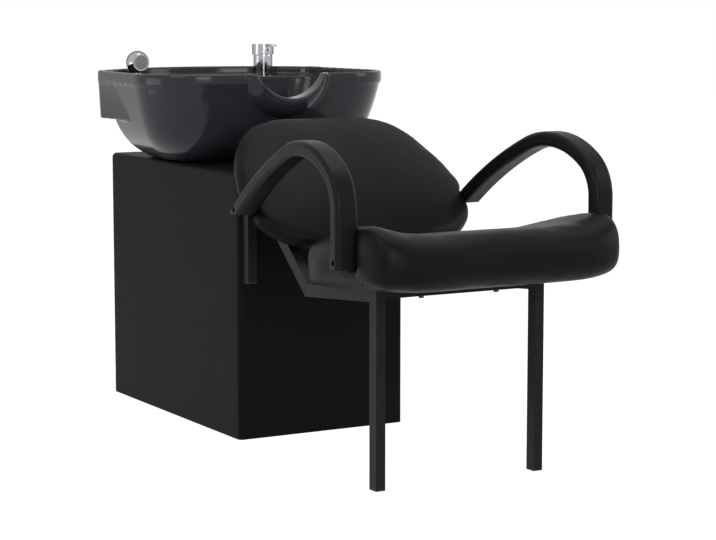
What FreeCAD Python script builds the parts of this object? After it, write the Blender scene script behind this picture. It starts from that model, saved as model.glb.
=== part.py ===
"""Salon shampoo chair: upholstered cabinet, backwash basin with mixer and sprayer, and a tube-frame chair.

Millimetres. +Z is up, the chair faces -Y and X runs across. The origin is on the floor, in the middle of
the whole length. Places are given as x across, "ahead" in front of the cabinet's face, and height.
"""
import FreeCAD, Part
import math
import os

V = FreeCAD.Vector
UP = V(0, 0, 1)
DOWN = V(0, 0, -1)
ACROSS = V(1, 0, 0)
FORWARD = V(0, -1, 0)
REARWARD = V(0, 1, 0)
ORIGIN = V(0, 0, 0)

# Cabinet
CABINET_WIDTH = 393.0
BASIN_OVERHANG = 14.0
CABINET_HEIGHT = 558.0
CABINET_ROUND = 10.0
COVER = 1.5
COVER_RETURN = 20.0
BOARD = 15.0
BATTEN = 25.0
PANEL = 6.0
PANEL_PLAY = 0.5
SLOT_WIDTH = 150.0
SLOT_HEIGHT = 90.0
HOSE_HOLE_RADIUS = 28.0
HOSE_HOLE_FROM_REAR = 52.0
GROMMET_WALL = 4.0

# Chair frame
TUBE_DEPTH = 25.0
TUBE_WIDTH = 20.0
TUBE_WALL = 1.5
CROSS_TUBE = 20.0
FRAME_INSET = 9.5
LEG_REACH = 544.0
RAIL_REACH = 270.4
RAIL_HEIGHT = 333.3
SEAT_TILT = math.radians(4.65)
BACK_LEAN = math.radians(40.0)
CAP_FLANGE = 4.0
CAP_PLUG = 18.0
FRONT_CROSS_AT = 252.0
REAR_CROSS_AT = 30.0
UPPER_CROSS_AT = 210.0

# Seat
SEAT_REACH = 712.0
SEAT_HALF_WIDTH = 274.0
SEAT_THICKNESS = 92.0
SEAT_WING_RISE = 27.0
SEAT_END_LIFT = 18.0
SEAT_REAR_AT = 15.0
SEAT_REAR_FALL = 28.0
SEAT_REAR_SWEEP = 167.0
SEAT_FRONT_SWEEP = 50.0
SEAT_FRONT_BULGE = 9.0
SEAT_CUTS = (14.0, 22.0, 26.0, 20.0)
SEAT_SHARES = ((0.0, 0.0, 0.0, 0.0, 0.0), (0.40, 0.03, 0.0, 0.0, 0.0), (0.64, 0.15, 0.04, 0.0, 0.1),
               (0.80, 0.41, 0.14, 0.25, 0.45), (0.90, 0.64, 0.30, 0.5, 0.75), (0.96, 0.81, 0.52, 0.72, 0.93),
               (1.0, 1.0, 1.0, 1.0, 1.0))
SEAT_BOARD = 12.0
SEAT_BOARD_HALF = 190.0
SEAT_BOARD_REAR = 40.0
SEAT_BOARD_LENGTH = 350.0
SEAT_BOARD_ROUND = 45.0

# Backrest
BACK_BOTTOM_AT = 76.0
BACK_LENGTH = 367.0
BACK_HALF_WIDTH = 266.0
BACK_EDGE = 34.0
BACK_CROWN = 27.0
BACK_REAR_CUT = 5.0
BACK_FRONT_CUT = 0.45
BACK_SHARES = ((0.0, 0.45, 0.45, 0.05), (0.035, 0.68, 0.70, 0.35), (0.12, 0.86, 0.95, 0.75),
               (0.25, 0.965, 1.0, 1.0), (0.39, 1.0, 1.0, 1.0), (0.61, 0.94, 1.0, 0.95),
               (0.80, 0.83, 0.95, 0.75), (0.93, 0.68, 0.75, 0.45), (1.0, 0.44, 0.45, 0.05))
BACK_BOARD = 24.0
BACK_BOARD_HALF = 195.0
BACK_BOARD_MARGIN = 42.0
BACK_BOARD_ROUND = 70.0
BACK_PANEL = 4.0
BACK_PLATE = 4.0
BACK_PLATE_WIDTH = 60.0
BACK_PLATE_LENGTH = 150.0
BACK_PLATE_AT = 150.0

# Armrests
ARM_WIDTH = 45.0
ARM_DEPTH = 30.0
ARM_ROUND = 9.0
ARM_SINK = 14.0
ARM_FOOT_BACK = 120.0
ARM_APEX_HEIGHT = 636.0
ARM_END_PAST = 10.0
ARM_BOLT_INSET = 6.5
ARM_TOP_RADIUS = 190.0
ARM_REAR_SLOPE = math.radians(22.0)
ARM_CORNER_RADIUS = 85.0
ARM_CORNER_SLOPE = math.radians(35.0)
ARM_FOOT_HEIGHT = 428.0
ARM_TOE_IN = math.radians(2.8)
SOFT_CLEARANCE = 0.3
ARM_BOLT_SEAT_RISE = 13.0
ARM_BOLT_BACK_AT = 196.0
ARM_BRACKET = 4.0
ARM_BRACKET_WIDTH = 40.0
ARM_BRACKET_COVER = 4.0
ARM_BRACKET_LEG = 90.0

# Basin
BASIN_REACH = 666.0
BASIN_FRONT = 151.0
BASIN_REAR_BOW = 117.0
BASIN_FRONT_HALF = 301.0
BASIN_REAR_HALF = 276.0
BASIN_RIM = 752.0
BASIN_APRON = 26.0
BASIN_RIM_WIDTH = 14.0
BASIN_WALL = 6.0
BASIN_FLOOR = 9.0
BASIN_DECK_DROP = 21.0
BASIN_SKIRT = 108.0
BASIN_MAT = 2.0
BOWL_INSET = 2.0
BOWL_REAR_GAP = 4.0
BOWL_FRONT_ROUND = 150.0
BOWL_REAR_ROUND = 55.0
BOWL_REAR_STEEP = 0.45
BOWL_FOOT_INSET = 105.0
HOUSING_REAR_DRAW = 3.0
HOUSING_FRONT_DRAW = 50.0
NOTCH_HALF_WIDTH = 83.0
NOTCH_DEPTH = 53.0
LIP_REACH = 30.0
LIP_BACK = 24.0
LIP_SIDE = 19.0
LIP_HEIGHT = 42.0
LIP_ROUND = 11.0
BOWL_BOLT_SPREAD = 120.0
BOWL_PROFILE = ((1.0, 0.0), (0.78, 0.04), (0.44, 0.21), (0.23, 0.40), (0.07, 0.70), (0.0, 0.91))

# Drain
DRAIN_SHARE = 219.0 / 394.0
DRAIN_BORE = 19.0
DRAIN_WALL = 3.0
DRAIN_FLANGE_RADIUS = 36.0
DRAIN_FLANGE = 3.0
DRAIN_DROP = 48.0
DRAIN_NUT_FLATS = 62.0
DRAIN_NUT = 12.0
DRAIN_GASKET = 3.0
STRAINER_WALL = 1.5
STRAINER_FLOOR = 2.0
STRAINER_DEPTH = 11.4
STRAINER_HOLE_RADIUS = 1.8
STRAINER_RINGS = ((0.45, 6), (0.78, 10))
TOP_HOLE_RADIUS = 62.0
PIPE_RADIUS = 16.0
PIPE_WALL = 2.0
TAIL_LENGTH = 90.0
TAIL_SHOWING = 54.0
TRAP_NUT_FLATS = 41.6
TRAP_RADIUS = 32.0
TRAP_HEIGHT = 105.0
TRAP_BOSS = 6.0
OUTLET_DROP = 38.0
OUTLET_LENGTH = 95.0

# Mixer and sprayer
FITTING_FROM_REAR = 89.0
MIXER_ACROSS = 160.0
MIXER_RADIUS = 22.0
MIXER_RING_RADIUS = 27.0
MIXER_RING = 5.0
MIXER_PIVOT_RISE = 46.0
MIXER_CAP_RADIUS = 25.0
MIXER_CAP_ROOF = 4.0
MIXER_CAP_FOOT = 3.0
MIXER_DOME_GAP = 1.0
MIXER_BORE = 14.0
CARTRIDGE_DEPTH = 24.0
ROTOR_DEPTH = 12.0
SPIGOT_RADIUS = 6.0
SPIGOT_LENGTH = 8.0
RUNNING_CLEARANCE = 0.05
TURN_GAP = 0.25
LEVER_LENGTH = 60.0
LEVER_WIDTH = 15.0
LEVER_THICKNESS = 4.5
LEVER_LIFT = math.radians(20.0)
LEVER_TAPER = 0.8
LEVER_END_ROUND = 0.6
LEVER_FOOT_ROUND = 1.0
STEM = 8.0
PIN_RADIUS = 2.0
PLUG_RADIUS = 2.2
PLUG_DEPTH = 1.2
SHANK_RADIUS = 14.0
SHANK_LENGTH = 38.0
SHANK_NUT_FLATS = 38.0
SHANK_NUT = 9.0
INLET_RADIUS = 5.0
INLET_WALL = 1.5
INLET_SPREAD = 16.0
INLET_LENGTH = 30.0
INLET_NUT_FLATS = 14.0
INLET_NUT = 10.0
HOLDER_FROM_REAR = 80.0
HOLDER_RADIUS = 17.0
HOLDER_FLANGE = 8.0
HOLDER_WALL = 2.5
HOLDER_DROP = 30.0
HOLDER_NUT_FLATS = 36.0
SPRAY_SHANK_RADIUS = 11.0
SPRAY_SHANK_DROP = 44.0
SPRAY_PLAY = 0.25
SPRAY_BALL_RADIUS = 26.0
SPRAY_BALL_RISE = 35.0
SPRAY_FACE_RADIUS = 16.0
SPRAY_FACE = 4.0
SPRAY_BEZEL = 3.0
NOZZLE_RADIUS = 1.2
NOZZLE_RINGS = ((0.35, 6), (0.72, 12))
NIPPLE_RADIUS = 7.0
NIPPLE_LENGTH = 14.0

# Fasteners
M6_RADIUS = 3.0
M6_HEAD_RADIUS = 5.0
M6_HEAD = 4.0
M6_HEX_FLATS = 10.0
M6_WASHER_RADIUS = 6.0
M8_RADIUS = 4.0
M8_HEAD_FLATS = 13.0
M8_HEAD = 5.3
WASHER_RADIUS = 9.0
WASHER = 1.6
WOOD_SCREW_RADIUS = 2.0
WOOD_SCREW_HEAD_RADIUS = 4.0
WOOD_SCREW_HEAD = 2.5
WOOD_SCREW_LENGTH = 22.0
BOLT_PLAY = 0.4
BOLT_GRIP = 6.0

# Values that follow from the driving dimensions
FACE_Y = (SEAT_REACH - BASIN_REACH) / 2
CABINET_DEPTH = BASIN_REACH - BASIN_OVERHANG
HALF_CABINET = CABINET_WIDTH / 2
TOP_UNDERSIDE = CABINET_HEIGHT - COVER - BOARD
SIDE_INNER = HALF_CABINET - COVER - BOARD
FRONT_INNER = -(COVER + BOARD)
PANEL_OUTER = -(CABINET_DEPTH - COVER)
PANEL_INNER = PANEL_OUTER + PANEL
FRAME_OUTER = HALF_CABINET - FRAME_INSET
HOSE_HOLE_AHEAD = HOSE_HOLE_FROM_REAR - CABINET_DEPTH
BASIN_REAR_CORNER = BASIN_REACH - BASIN_REAR_BOW
BOWL_REAR = BASIN_REAR_CORNER - BOWL_REAR_GAP
DRAIN_AHEAD = -(BASIN_FRONT + DRAIN_SHARE * (BOWL_REAR - BASIN_FRONT))
FITTING_AHEAD = FITTING_FROM_REAR - BASIN_REACH
HOLDER_AHEAD = HOLDER_FROM_REAR - BASIN_REACH
FRAME_INNER = FRAME_OUTER - TUBE_WIDTH
BOWL_FOOT = CABINET_HEIGHT + BASIN_MAT
BOWL_FLOOR_TOP = BOWL_FOOT + BASIN_FLOOR
DECK = BASIN_RIM - BASIN_DECK_DROP
DECK_UNDERSIDE = DECK - BASIN_WALL
SKIRT_BOTTOM = BASIN_RIM - BASIN_SKIRT
BACK_REAR = TUBE_DEPTH + BACK_PLATE
BACK_BOARD_REAR = BACK_REAR + BACK_PANEL
BACK_BOARD_FRONT = BACK_BOARD_REAR + BACK_BOARD
ARM_MID = SEAT_HALF_WIDTH - ARM_SINK + ARM_WIDTH / 2
ARM_BRACKET_INSET = ARM_SINK + ARM_BRACKET_COVER
ARM_FOOT_AHEAD = SEAT_REACH - ARM_FOOT_BACK
ARM_TOP_REACH = ARM_TOP_RADIUS * math.sin(ARM_CORNER_SLOPE)
ARM_REACH = ARM_TOP_REACH + ARM_CORNER_RADIUS * (1 - math.sin(ARM_CORNER_SLOPE))
ARM_APEX_AHEAD = ARM_FOOT_AHEAD - ARM_REACH
MIXER_PIVOT = DECK + MIXER_PIVOT_RISE
MIXER_CAP_RISE = MIXER_RADIUS + MIXER_DOME_GAP + MIXER_CAP_ROOF
MIDWAY = math.sqrt(0.5)


def at(x, ahead, z):
    """Point from its place across, its distance ahead of the cabinet's face, and its height."""
    return V(x, FACE_Y - ahead, z)


def box(x0, x1, ahead0, ahead1, z0, z1):
    """Upright box between two places across, two distances ahead and two heights."""
    return Part.makeBox(x1 - x0, ahead1 - ahead0, z1 - z0, at(x0, ahead1, z0))


def rod(radius, start, axis, length):
    """Round bar from a point along an axis."""
    return Part.makeCylinder(radius, length, start, axis)


def pipe(outer, inner, start, axis, length):
    """Round tube from a point along an axis."""
    return rod(outer, start, axis, length).cut(rod(inner, start, axis, length))


def hexagon(flats, start, axis, length):
    """Hexagonal bar across its flats, from a point along an axis."""
    radius = flats / math.sqrt(3)
    turns = [k * math.pi / 3 for k in range(7)]
    corners = [V(radius * math.cos(turn), radius * math.sin(turn), 0) for turn in turns]
    bar = Part.Face(Part.makePolygon(corners)).extrude(V(0, 0, length))
    bar.Placement = FreeCAD.Placement(start, FreeCAD.Rotation(UP, axis))
    return bar


def mirrored(shape):
    """The same piece on the other side of the chair."""
    return shape.mirror(ORIGIN, ACROSS)


def both_sides(shapes):
    """The pieces of one side and their mirror images, as one group of separate solids."""
    return Part.makeCompound(list(shapes) + [mirrored(shape) for shape in shapes])


def side_prism(points, x0, x1):
    """Flat outline in ahead and height, carried across from x0 to x1."""
    corners = [at(x0, ahead, z) for ahead, z in points]
    return Part.Face(Part.makePolygon(corners + corners[:1])).extrude(V(x1 - x0, 0, 0))


def rounded_outline(place, corners, cuts, bulges):
    """Closed wire with an arc at every corner; a bulge bows the side after that corner outwards."""
    points = [V(p, q, 0) for p, q in corners]
    centre = V(0, 0, 0)
    for point in points:
        centre = centre + point / len(points)
    stops = []
    for i, point in enumerate(points):
        before = (points[i - 1] - point).normalize()
        after = (points[(i + 1) % len(points)] - point).normalize()
        inward = (before + after).normalize()
        cosine = inward.dot(after)
        radius = cuts[i] * math.sqrt(1 - cosine * cosine) / cosine
        middle = point + inward * (cuts[i] / cosine - radius)
        stops.append((point + before * cuts[i], middle, point + after * cuts[i]))
    edges = []
    for i, (start, middle, end) in enumerate(stops):
        following = stops[(i + 1) % len(stops)][0]
        edges.append(Part.Arc(place(start), place(middle), place(end)).toShape())
        if bulges[i]:
            half = (end + following) / 2
            side = following - end
            outward = V(side.y, -side.x, 0).normalize()
            if outward.dot(half - centre) < 0:
                outward = outward * -1
            edges.append(Part.Arc(place(end), place(half + outward * bulges[i]), place(following)).toShape())
        else:
            edges.append(Part.LineSegment(place(end), place(following)).toShape())
    return Part.Wire(edges)


def rectangle(half, low, high):
    """Corners of a rectangle that lies evenly about the middle line."""
    return [(-half, low), (half, low), (half, high), (-half, high)]


def seat_placed(shape):
    """Piece drawn across, along the seat and square to it, carried to the tilted rails."""
    shape = shape.copy()
    origin = at(0, RAIL_REACH, rail_top(RAIL_REACH))
    turn = FreeCAD.Rotation(ACROSS, -math.degrees(SEAT_TILT))
    shape.Placement = FreeCAD.Placement(origin, turn).multiply(shape.Placement)
    return shape


def back_placed(shape):
    """Piece drawn across, up the back and square to it, carried to the sloping stays."""
    shape = shape.copy()
    origin = at(0, RAIL_REACH, RAIL_HEIGHT)
    turn = FreeCAD.Rotation(ACROSS, math.degrees(BACK_LEAN))
    shape.Placement = FreeCAD.Placement(origin, turn).multiply(shape.Placement)
    return shape


def seat_box(x0, x1, along0, along1, rise0, rise1):
    """Box in the seat's own directions."""
    return seat_placed(Part.makeBox(x1 - x0, along1 - along0, rise1 - rise0, V(x0, -along1, rise0)))


def back_box(x0, x1, along0, along1, rise0, rise1):
    """Box in the back's own directions."""
    return back_placed(Part.makeBox(x1 - x0, along1 - along0, rise1 - rise0, V(x0, along0, rise0)))


def rail_bottom(ahead):
    """Height of the side rail's lower edge."""
    return RAIL_HEIGHT + math.tan(SEAT_TILT) * (ahead - RAIL_REACH)


def rail_top(ahead):
    """Height of the side rail's upper edge."""
    return rail_bottom(ahead) + TUBE_DEPTH / math.cos(SEAT_TILT)


def stay_bottom(ahead):
    """Height of the sloping stay's lower edge."""
    return RAIL_HEIGHT + math.tan(BACK_LEAN) * (RAIL_REACH - ahead)


def stay_top(ahead):
    """Height of the sloping stay's upper edge."""
    return stay_bottom(ahead) + TUBE_DEPTH / math.cos(BACK_LEAN)


def mitre(depth):
    """Point of the mitre between rail and stay, at a depth from their lower edges."""
    step = depth * (1 / math.cos(BACK_LEAN) - 1 / math.cos(SEAT_TILT))
    ahead = RAIL_REACH + step / (math.tan(SEAT_TILT) + math.tan(BACK_LEAN))
    return ahead, rail_bottom(ahead) + depth / math.cos(SEAT_TILT)


def frame_tube(outer, inner):
    """Right-hand rectangular tube from the outlines of its outside and its bore."""
    body = side_prism(outer, FRAME_INNER, FRAME_OUTER)
    return body.cut(side_prism(inner, FRAME_INNER + TUBE_WALL, FRAME_OUTER - TUBE_WALL))


def upright(ahead, bottom, top):
    """Outline of an upright tube between a bottom height and a top line."""
    back, front = ahead
    return [(back, bottom), (front, bottom), (front, top(front)), (back, top(back))]


def leg():
    back, front = LEG_REACH - TUBE_DEPTH, LEG_REACH
    outer = upright((back, front), CAP_FLANGE, rail_top)
    return frame_tube(outer, upright((back + TUBE_WALL, front - TUBE_WALL), CAP_FLANGE, rail_top))


def side_rail():
    end = LEG_REACH - TUBE_DEPTH
    wall = TUBE_WALL / math.cos(SEAT_TILT)
    outer = [mitre(0), (end, rail_bottom(end)), (end, rail_top(end)), mitre(TUBE_DEPTH)]
    inner = [mitre(TUBE_WALL), (end, rail_bottom(end) + wall), (end, rail_top(end) - wall),
             mitre(TUBE_DEPTH - TUBE_WALL)]
    return frame_tube(outer, inner)


def stay():
    end = TUBE_DEPTH
    wall = TUBE_WALL / math.cos(BACK_LEAN)
    outer = [mitre(0), mitre(TUBE_DEPTH), (end, stay_top(end)), (end, stay_bottom(end))]
    inner = [mitre(TUBE_WALL), mitre(TUBE_DEPTH - TUBE_WALL), (end, stay_top(end) - wall),
             (end, stay_bottom(end) + wall)]
    return frame_tube(outer, inner)


def post_bolt_heights():
    """Heights of the two bolts that hold a post to the cabinet."""
    lower = RAIL_HEIGHT + 2 * TUBE_DEPTH
    upper = stay_bottom(TUBE_DEPTH) - TUBE_DEPTH
    return lower, upper


def post():
    top = stay_top(TUBE_DEPTH)
    tube = box(FRAME_INNER, FRAME_OUTER, 0, TUBE_DEPTH, RAIL_HEIGHT, top)
    bore = box(FRAME_INNER + TUBE_WALL, FRAME_OUTER - TUBE_WALL, TUBE_WALL, TUBE_DEPTH - TUBE_WALL,
               RAIL_HEIGHT, top)
    tube = tube.cut(bore)
    for height in post_bolt_heights():
        tube = tube.cut(rod(M6_RADIUS, at(post_bolt_across(), 0, height), FORWARD, TUBE_WALL))
    return tube


def post_bolt_across():
    """Place across of the post bolts: the post's middle, or as near as the side board lets a washer lie."""
    middle = (FRAME_INNER + FRAME_OUTER) / 2
    return min(middle, SIDE_INNER - M6_WASHER_RADIUS - BOLT_PLAY)


def tube_cap(back, front, height, direction):
    """Plastic plug with a flange that closes the end of an upright tube."""
    low, high = sorted((height, height - direction * CAP_FLANGE))
    flange = box(FRAME_INNER, FRAME_OUTER, back, front, low, high)
    low, high = sorted((height, height + direction * CAP_PLUG))
    plug = box(FRAME_INNER + TUBE_WALL, FRAME_OUTER - TUBE_WALL,
               back + TUBE_WALL, front - TUBE_WALL, low, high)
    return flange.fuse(plug).removeSplitter()


def leg_caps():
    return both_sides([tube_cap(LEG_REACH - TUBE_DEPTH, LEG_REACH, CAP_FLANGE, 1)])


def post_caps():
    ends = [tube_cap(0, TUBE_DEPTH, RAIL_HEIGHT, 1), tube_cap(0, TUBE_DEPTH, stay_top(TUBE_DEPTH), -1)]
    return both_sides(ends)


def post_bolts():
    """Bolts from inside the cabinet into the posts, each with a washer under its head."""
    bolts = []
    for height in post_bolt_heights():
        seat = FRONT_INNER - WASHER
        place = at(post_bolt_across(), seat, height)
        shank = rod(M6_RADIUS, place, FORWARD, TUBE_WALL + BOLT_GRIP - seat)
        head = hexagon(M6_HEX_FLATS, place, REARWARD, M6_HEAD)
        washer = rod(M6_WASHER_RADIUS, place, FORWARD, WASHER)
        bolts.append(shank.fuse([head, washer]).removeSplitter())
    return both_sides(bolts)


def cross_rail(along):
    """Square tube between the side rails, flush with their upper edges."""
    tube = seat_box(-FRAME_INNER, FRAME_INNER, along, along + CROSS_TUBE, -CROSS_TUBE, 0)
    bore = seat_box(-FRAME_INNER, FRAME_INNER, along + TUBE_WALL, along + CROSS_TUBE - TUBE_WALL,
                    TUBE_WALL - CROSS_TUBE, -TUBE_WALL)
    tube = tube.cut(bore)
    for x in seat_screw_places():
        hole = rod(M6_RADIUS, V(x, -(along + CROSS_TUBE / 2), -CROSS_TUBE), UP, CROSS_TUBE)
        tube = tube.cut(seat_placed(hole))
    return tube


def seat_screw_places():
    """Places across of the screws that hold the seat board to a cross rail."""
    return -FRAME_INNER / 2, FRAME_INNER / 2


def upper_cross_rail():
    top = TUBE_DEPTH
    tube = back_box(-FRAME_INNER, FRAME_INNER, UPPER_CROSS_AT,
                    UPPER_CROSS_AT + CROSS_TUBE, top - CROSS_TUBE, top)
    bore = back_box(-FRAME_INNER, FRAME_INNER, UPPER_CROSS_AT + TUBE_WALL,
                    UPPER_CROSS_AT + CROSS_TUBE - TUBE_WALL, top - CROSS_TUBE + TUBE_WALL, top - TUBE_WALL)
    return tube.cut(bore)


def seat_board():
    low, high = SEAT_BOARD_REAR, SEAT_BOARD_REAR + SEAT_BOARD_LENGTH
    corners = rectangle(SEAT_BOARD_HALF, low, high)
    wire = rounded_outline(lambda p: V(p.x, -p.y, 0), corners, [SEAT_BOARD_ROUND] * 4, [0] * 4)
    board = seat_placed(Part.Face(wire).extrude(V(0, 0, SEAT_BOARD)))
    return board.cut(seat_screws())


def seat_screws():
    """Screws up through the cross rails into the seat board."""
    screws = []
    for along in (FRONT_CROSS_AT, REAR_CROSS_AT):
        for x in seat_screw_places():
            foot = V(x, -(along + CROSS_TUBE / 2), -CROSS_TUBE)
            shank = rod(M6_RADIUS, foot, UP, CROSS_TUBE + SEAT_BOARD - TUBE_WALL)
            head = rod(M6_HEAD_RADIUS, foot, DOWN, M6_HEAD)
            screws.append(seat_placed(shank.fuse(head).removeSplitter()))
    return Part.makeCompound(screws)


def seat_stations():
    """Half of the seat's cross-sections: place across, rear and front ends, underside and top."""
    front = (SEAT_REACH - RAIL_REACH) / math.cos(SEAT_TILT) + SEAT_THICKNESS / 2 * math.tan(SEAT_TILT)
    front -= SEAT_FRONT_BULGE
    return [(SEAT_HALF_WIDTH * across, SEAT_REAR_AT + SEAT_REAR_SWEEP * sweep,
             front - SEAT_FRONT_SWEEP * nose, SEAT_END_LIFT * lift, SEAT_THICKNESS + SEAT_WING_RISE * wing)
            for across, sweep, nose, lift, wing in SEAT_SHARES]


def seat_section(x, rear, front, low, high):
    """Side profile of the seat cushion at one place across."""
    corners = [(rear, low), (front, low), (front, high), (rear, high - SEAT_REAR_FALL)]
    bulges = [0, SEAT_FRONT_BULGE, SEAT_FRONT_BULGE / 2, SEAT_FRONT_BULGE / 3]
    return rounded_outline(lambda p: V(x, -p.x, p.y), corners, SEAT_CUTS, bulges)


def seat_cushion():
    """Saddle-shaped cushion: dished in the middle, raised wings, drawn-in ends, a pocket for its board."""
    half = [seat_section(*station) for station in seat_stations()]
    other = [seat_section(-station[0], *station[1:]) for station in reversed(seat_stations()[1:])]
    cushion = seat_placed(Part.makeLoft(other + half, True, False))
    span = SEAT_REACH
    cushion = cushion.cut(seat_box(-span, span, -span, span, -SEAT_THICKNESS, 0))
    arm_seat = arm_form(SOFT_CLEARANCE)
    fittings = (seat_board(), seat_screws(), arm_brackets(), arm_bolt_holes())
    for piece in fittings + (arm_seat, mirrored(arm_seat)):
        cushion = cushion.cut(piece)
    return cushion


def back_stations():
    """Cross-sections of the back cushion: distance up, half width, edge thickness and crown."""
    return [(BACK_BOTTOM_AT + BACK_LENGTH * along, BACK_HALF_WIDTH * half, BACK_EDGE * edge,
             BACK_CROWN * crown)
            for along, half, edge, crown in BACK_SHARES]


def back_section(along, half, edge, crown):
    """Cross-section of the back cushion at one distance up."""
    corners = rectangle(half, BACK_BOARD_REAR, BACK_BOARD_REAR + edge)
    cuts = [BACK_REAR_CUT, BACK_REAR_CUT, edge * BACK_FRONT_CUT, edge * BACK_FRONT_CUT]
    return rounded_outline(lambda p: V(p.x, along, p.y), corners, cuts, [0, 0, crown, 0])


def back_cushion():
    """Crowned back cushion with a pocket for its board and seats for the ends of the arms."""
    sections = [back_section(*station) for station in back_stations()]
    cushion = back_placed(Part.makeLoft(sections, True, False))
    arm_seat = arm_form(SOFT_CLEARANCE)
    for piece in (back_board(), back_screws(), arm_bolt_holes(), arm_seat, mirrored(arm_seat)):
        cushion = cushion.cut(piece)
    return cushion


def back_plane(half, low, high, cut, rise, thickness):
    """Flat rounded sheet that lies square to the back's slope."""
    wire = rounded_outline(lambda p: V(p.x, p.y, rise), rectangle(half, low, high), [cut] * 4, [0] * 4)
    return back_placed(Part.Face(wire).extrude(V(0, 0, thickness)))


def back_board():
    low = BACK_BOTTOM_AT + BACK_BOARD_MARGIN
    high = BACK_BOTTOM_AT + BACK_LENGTH - BACK_BOARD_MARGIN
    board = back_plane(BACK_BOARD_HALF, low, high, BACK_BOARD_ROUND, BACK_BOARD_REAR, BACK_BOARD)
    return board.cut(back_screws()).cut(arm_bolts())


def back_panel():
    """Upholstered sheet over the back of the board."""
    low = BACK_BOTTOM_AT + BACK_BOARD_MARGIN / 2
    high = BACK_BOTTOM_AT + BACK_LENGTH - BACK_BOARD_MARGIN / 2
    sheet = back_plane(BACK_BOARD_HALF, low, high, BACK_BOARD_ROUND, BACK_REAR, BACK_PANEL)
    return sheet.cut(back_screws())


def back_plate():
    """Steel plate on a stay that carries the backrest."""
    plate = back_box(FRAME_OUTER - BACK_PLATE_WIDTH, FRAME_OUTER, BACK_PLATE_AT,
                     BACK_PLATE_AT + BACK_PLATE_LENGTH, TUBE_DEPTH, BACK_REAR)
    return plate.cut(back_screws())


def back_screws():
    """Screws through the plates into the back board."""
    x = FRAME_OUTER - BACK_PLATE_WIDTH + 2 * M6_HEAD_RADIUS
    screws = []
    for share in (0.2, 0.8):
        foot = V(x, BACK_PLATE_AT + BACK_PLATE_LENGTH * share, TUBE_DEPTH)
        shank = rod(M6_RADIUS, foot, UP, BACK_PLATE + BACK_PANEL + BACK_BOARD * 0.7)
        head = rod(M6_HEAD_RADIUS, foot, DOWN, M6_HEAD)
        screws.append(back_placed(shank.fuse(head).removeSplitter()))
    return both_sides(screws)


def arm_back_bolt():
    """Place of the arm's rear bolt in the edge of the back board."""
    rise = BACK_BOARD_FRONT - BACK_BOARD / 4
    return back_placed(Part.Vertex(V(0, ARM_BOLT_BACK_AT, rise))).Point


def arc_point(radius, joint, joint_slope, slope):
    """Place in the arm's plane on an arc that leaves a joint at one slope and has turned to another."""
    return joint + V(0, radius * (math.sin(slope) - math.sin(joint_slope)),
                     radius * (math.cos(slope) - math.cos(joint_slope)))


def arm_rear_joint():
    """Where the arm's top arc meets its rear arc, from the top."""
    return arc_point(ARM_TOP_RADIUS, ORIGIN, 0, ARM_REAR_SLOPE)


def arm_rear_radius():
    """Radius of the arm's rear arc, which follows its top arc and passes just ahead of the rear bolt."""
    bolt = arm_back_bolt()
    run = ARM_APEX_AHEAD - (FACE_Y - bolt.y) - ARM_BOLT_INSET
    span = V(0, run, bolt.z - ARM_APEX_HEIGHT) - arm_rear_joint()
    outward = V(0, math.sin(ARM_REAR_SLOPE), math.cos(ARM_REAR_SLOPE))
    return -span.dot(span) / (2 * outward.dot(span))


def arm_path():
    """Middle line of an armrest in its own upright plane, from past its rear cut to its foot."""
    radius, joint = arm_rear_radius(), arm_rear_joint()
    drop = ARM_APEX_HEIGHT - arm_back_bolt().z + ARM_END_PAST + ARM_DEPTH / 2
    turn = math.acos(math.cos(ARM_REAR_SLOPE) - (drop + joint.z) / radius)
    end = arc_point(radius, joint, ARM_REAR_SLOPE, turn)
    middle = arc_point(radius, joint, ARM_REAR_SLOPE, (ARM_REAR_SLOPE + turn) / 2)
    shoulder = arc_point(ARM_TOP_RADIUS, ORIGIN, 0, -ARM_CORNER_SLOPE)
    knee = arc_point(ARM_CORNER_RADIUS, shoulder, -ARM_CORNER_SLOPE, -math.pi / 2)
    bend = arc_point(ARM_CORNER_RADIUS, shoulder, -ARM_CORNER_SLOPE, -(ARM_CORNER_SLOPE + math.pi / 2) / 2)
    foot = V(0, knee.y, ARM_FOOT_HEIGHT - ARM_APEX_HEIGHT)
    return [Part.Arc(end, middle, joint).toShape(), Part.Arc(joint, ORIGIN, shoulder).toShape(),
            Part.Arc(shoulder, bend, knee).toShape(), Part.LineSegment(knee, foot).toShape()], end, turn


def arm_form(extra):
    """Right-hand armrest as a swept rounded section, cut level at the rear and grown by a clearance."""
    edges, start, turn = arm_path()
    half, depth = ARM_WIDTH / 2 + extra, ARM_DEPTH / 2 + extra
    normal = V(0, math.sin(turn), math.cos(turn))
    section = rounded_outline(lambda p: start + V(p.x, 0, 0) + normal * p.y, rectangle(half, -depth, depth),
                              [ARM_ROUND] * 4, [0] * 4)
    form = Part.Wire(edges).makePipeShell([section], True, False)
    form.rotate(V(0, -ARM_REACH, 0), UP, math.degrees(ARM_TOE_IN))
    form.translate(at(ARM_MID, ARM_APEX_AHEAD, ARM_APEX_HEIGHT))
    bolt = arm_back_bolt()
    rear = FACE_Y - bolt.y
    level = bolt.z - ARM_END_PAST - extra
    span = 3 * ARM_WIDTH
    return form.cut(box(0, ARM_MID + span, rear - span, rear + span, level - span, level))


def armrest():
    arm = arm_form(0)
    for start, axis in arm_bolt_lines():
        head_seat = start - axis * M6_HEAD
        arm = arm.cut(rod(M6_RADIUS + BOLT_PLAY, head_seat, axis, ARM_WIDTH * 2))
        arm = arm.cut(rod(M6_HEAD_RADIUS + BOLT_PLAY, start, axis * -1, ARM_WIDTH))
    return arm


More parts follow.
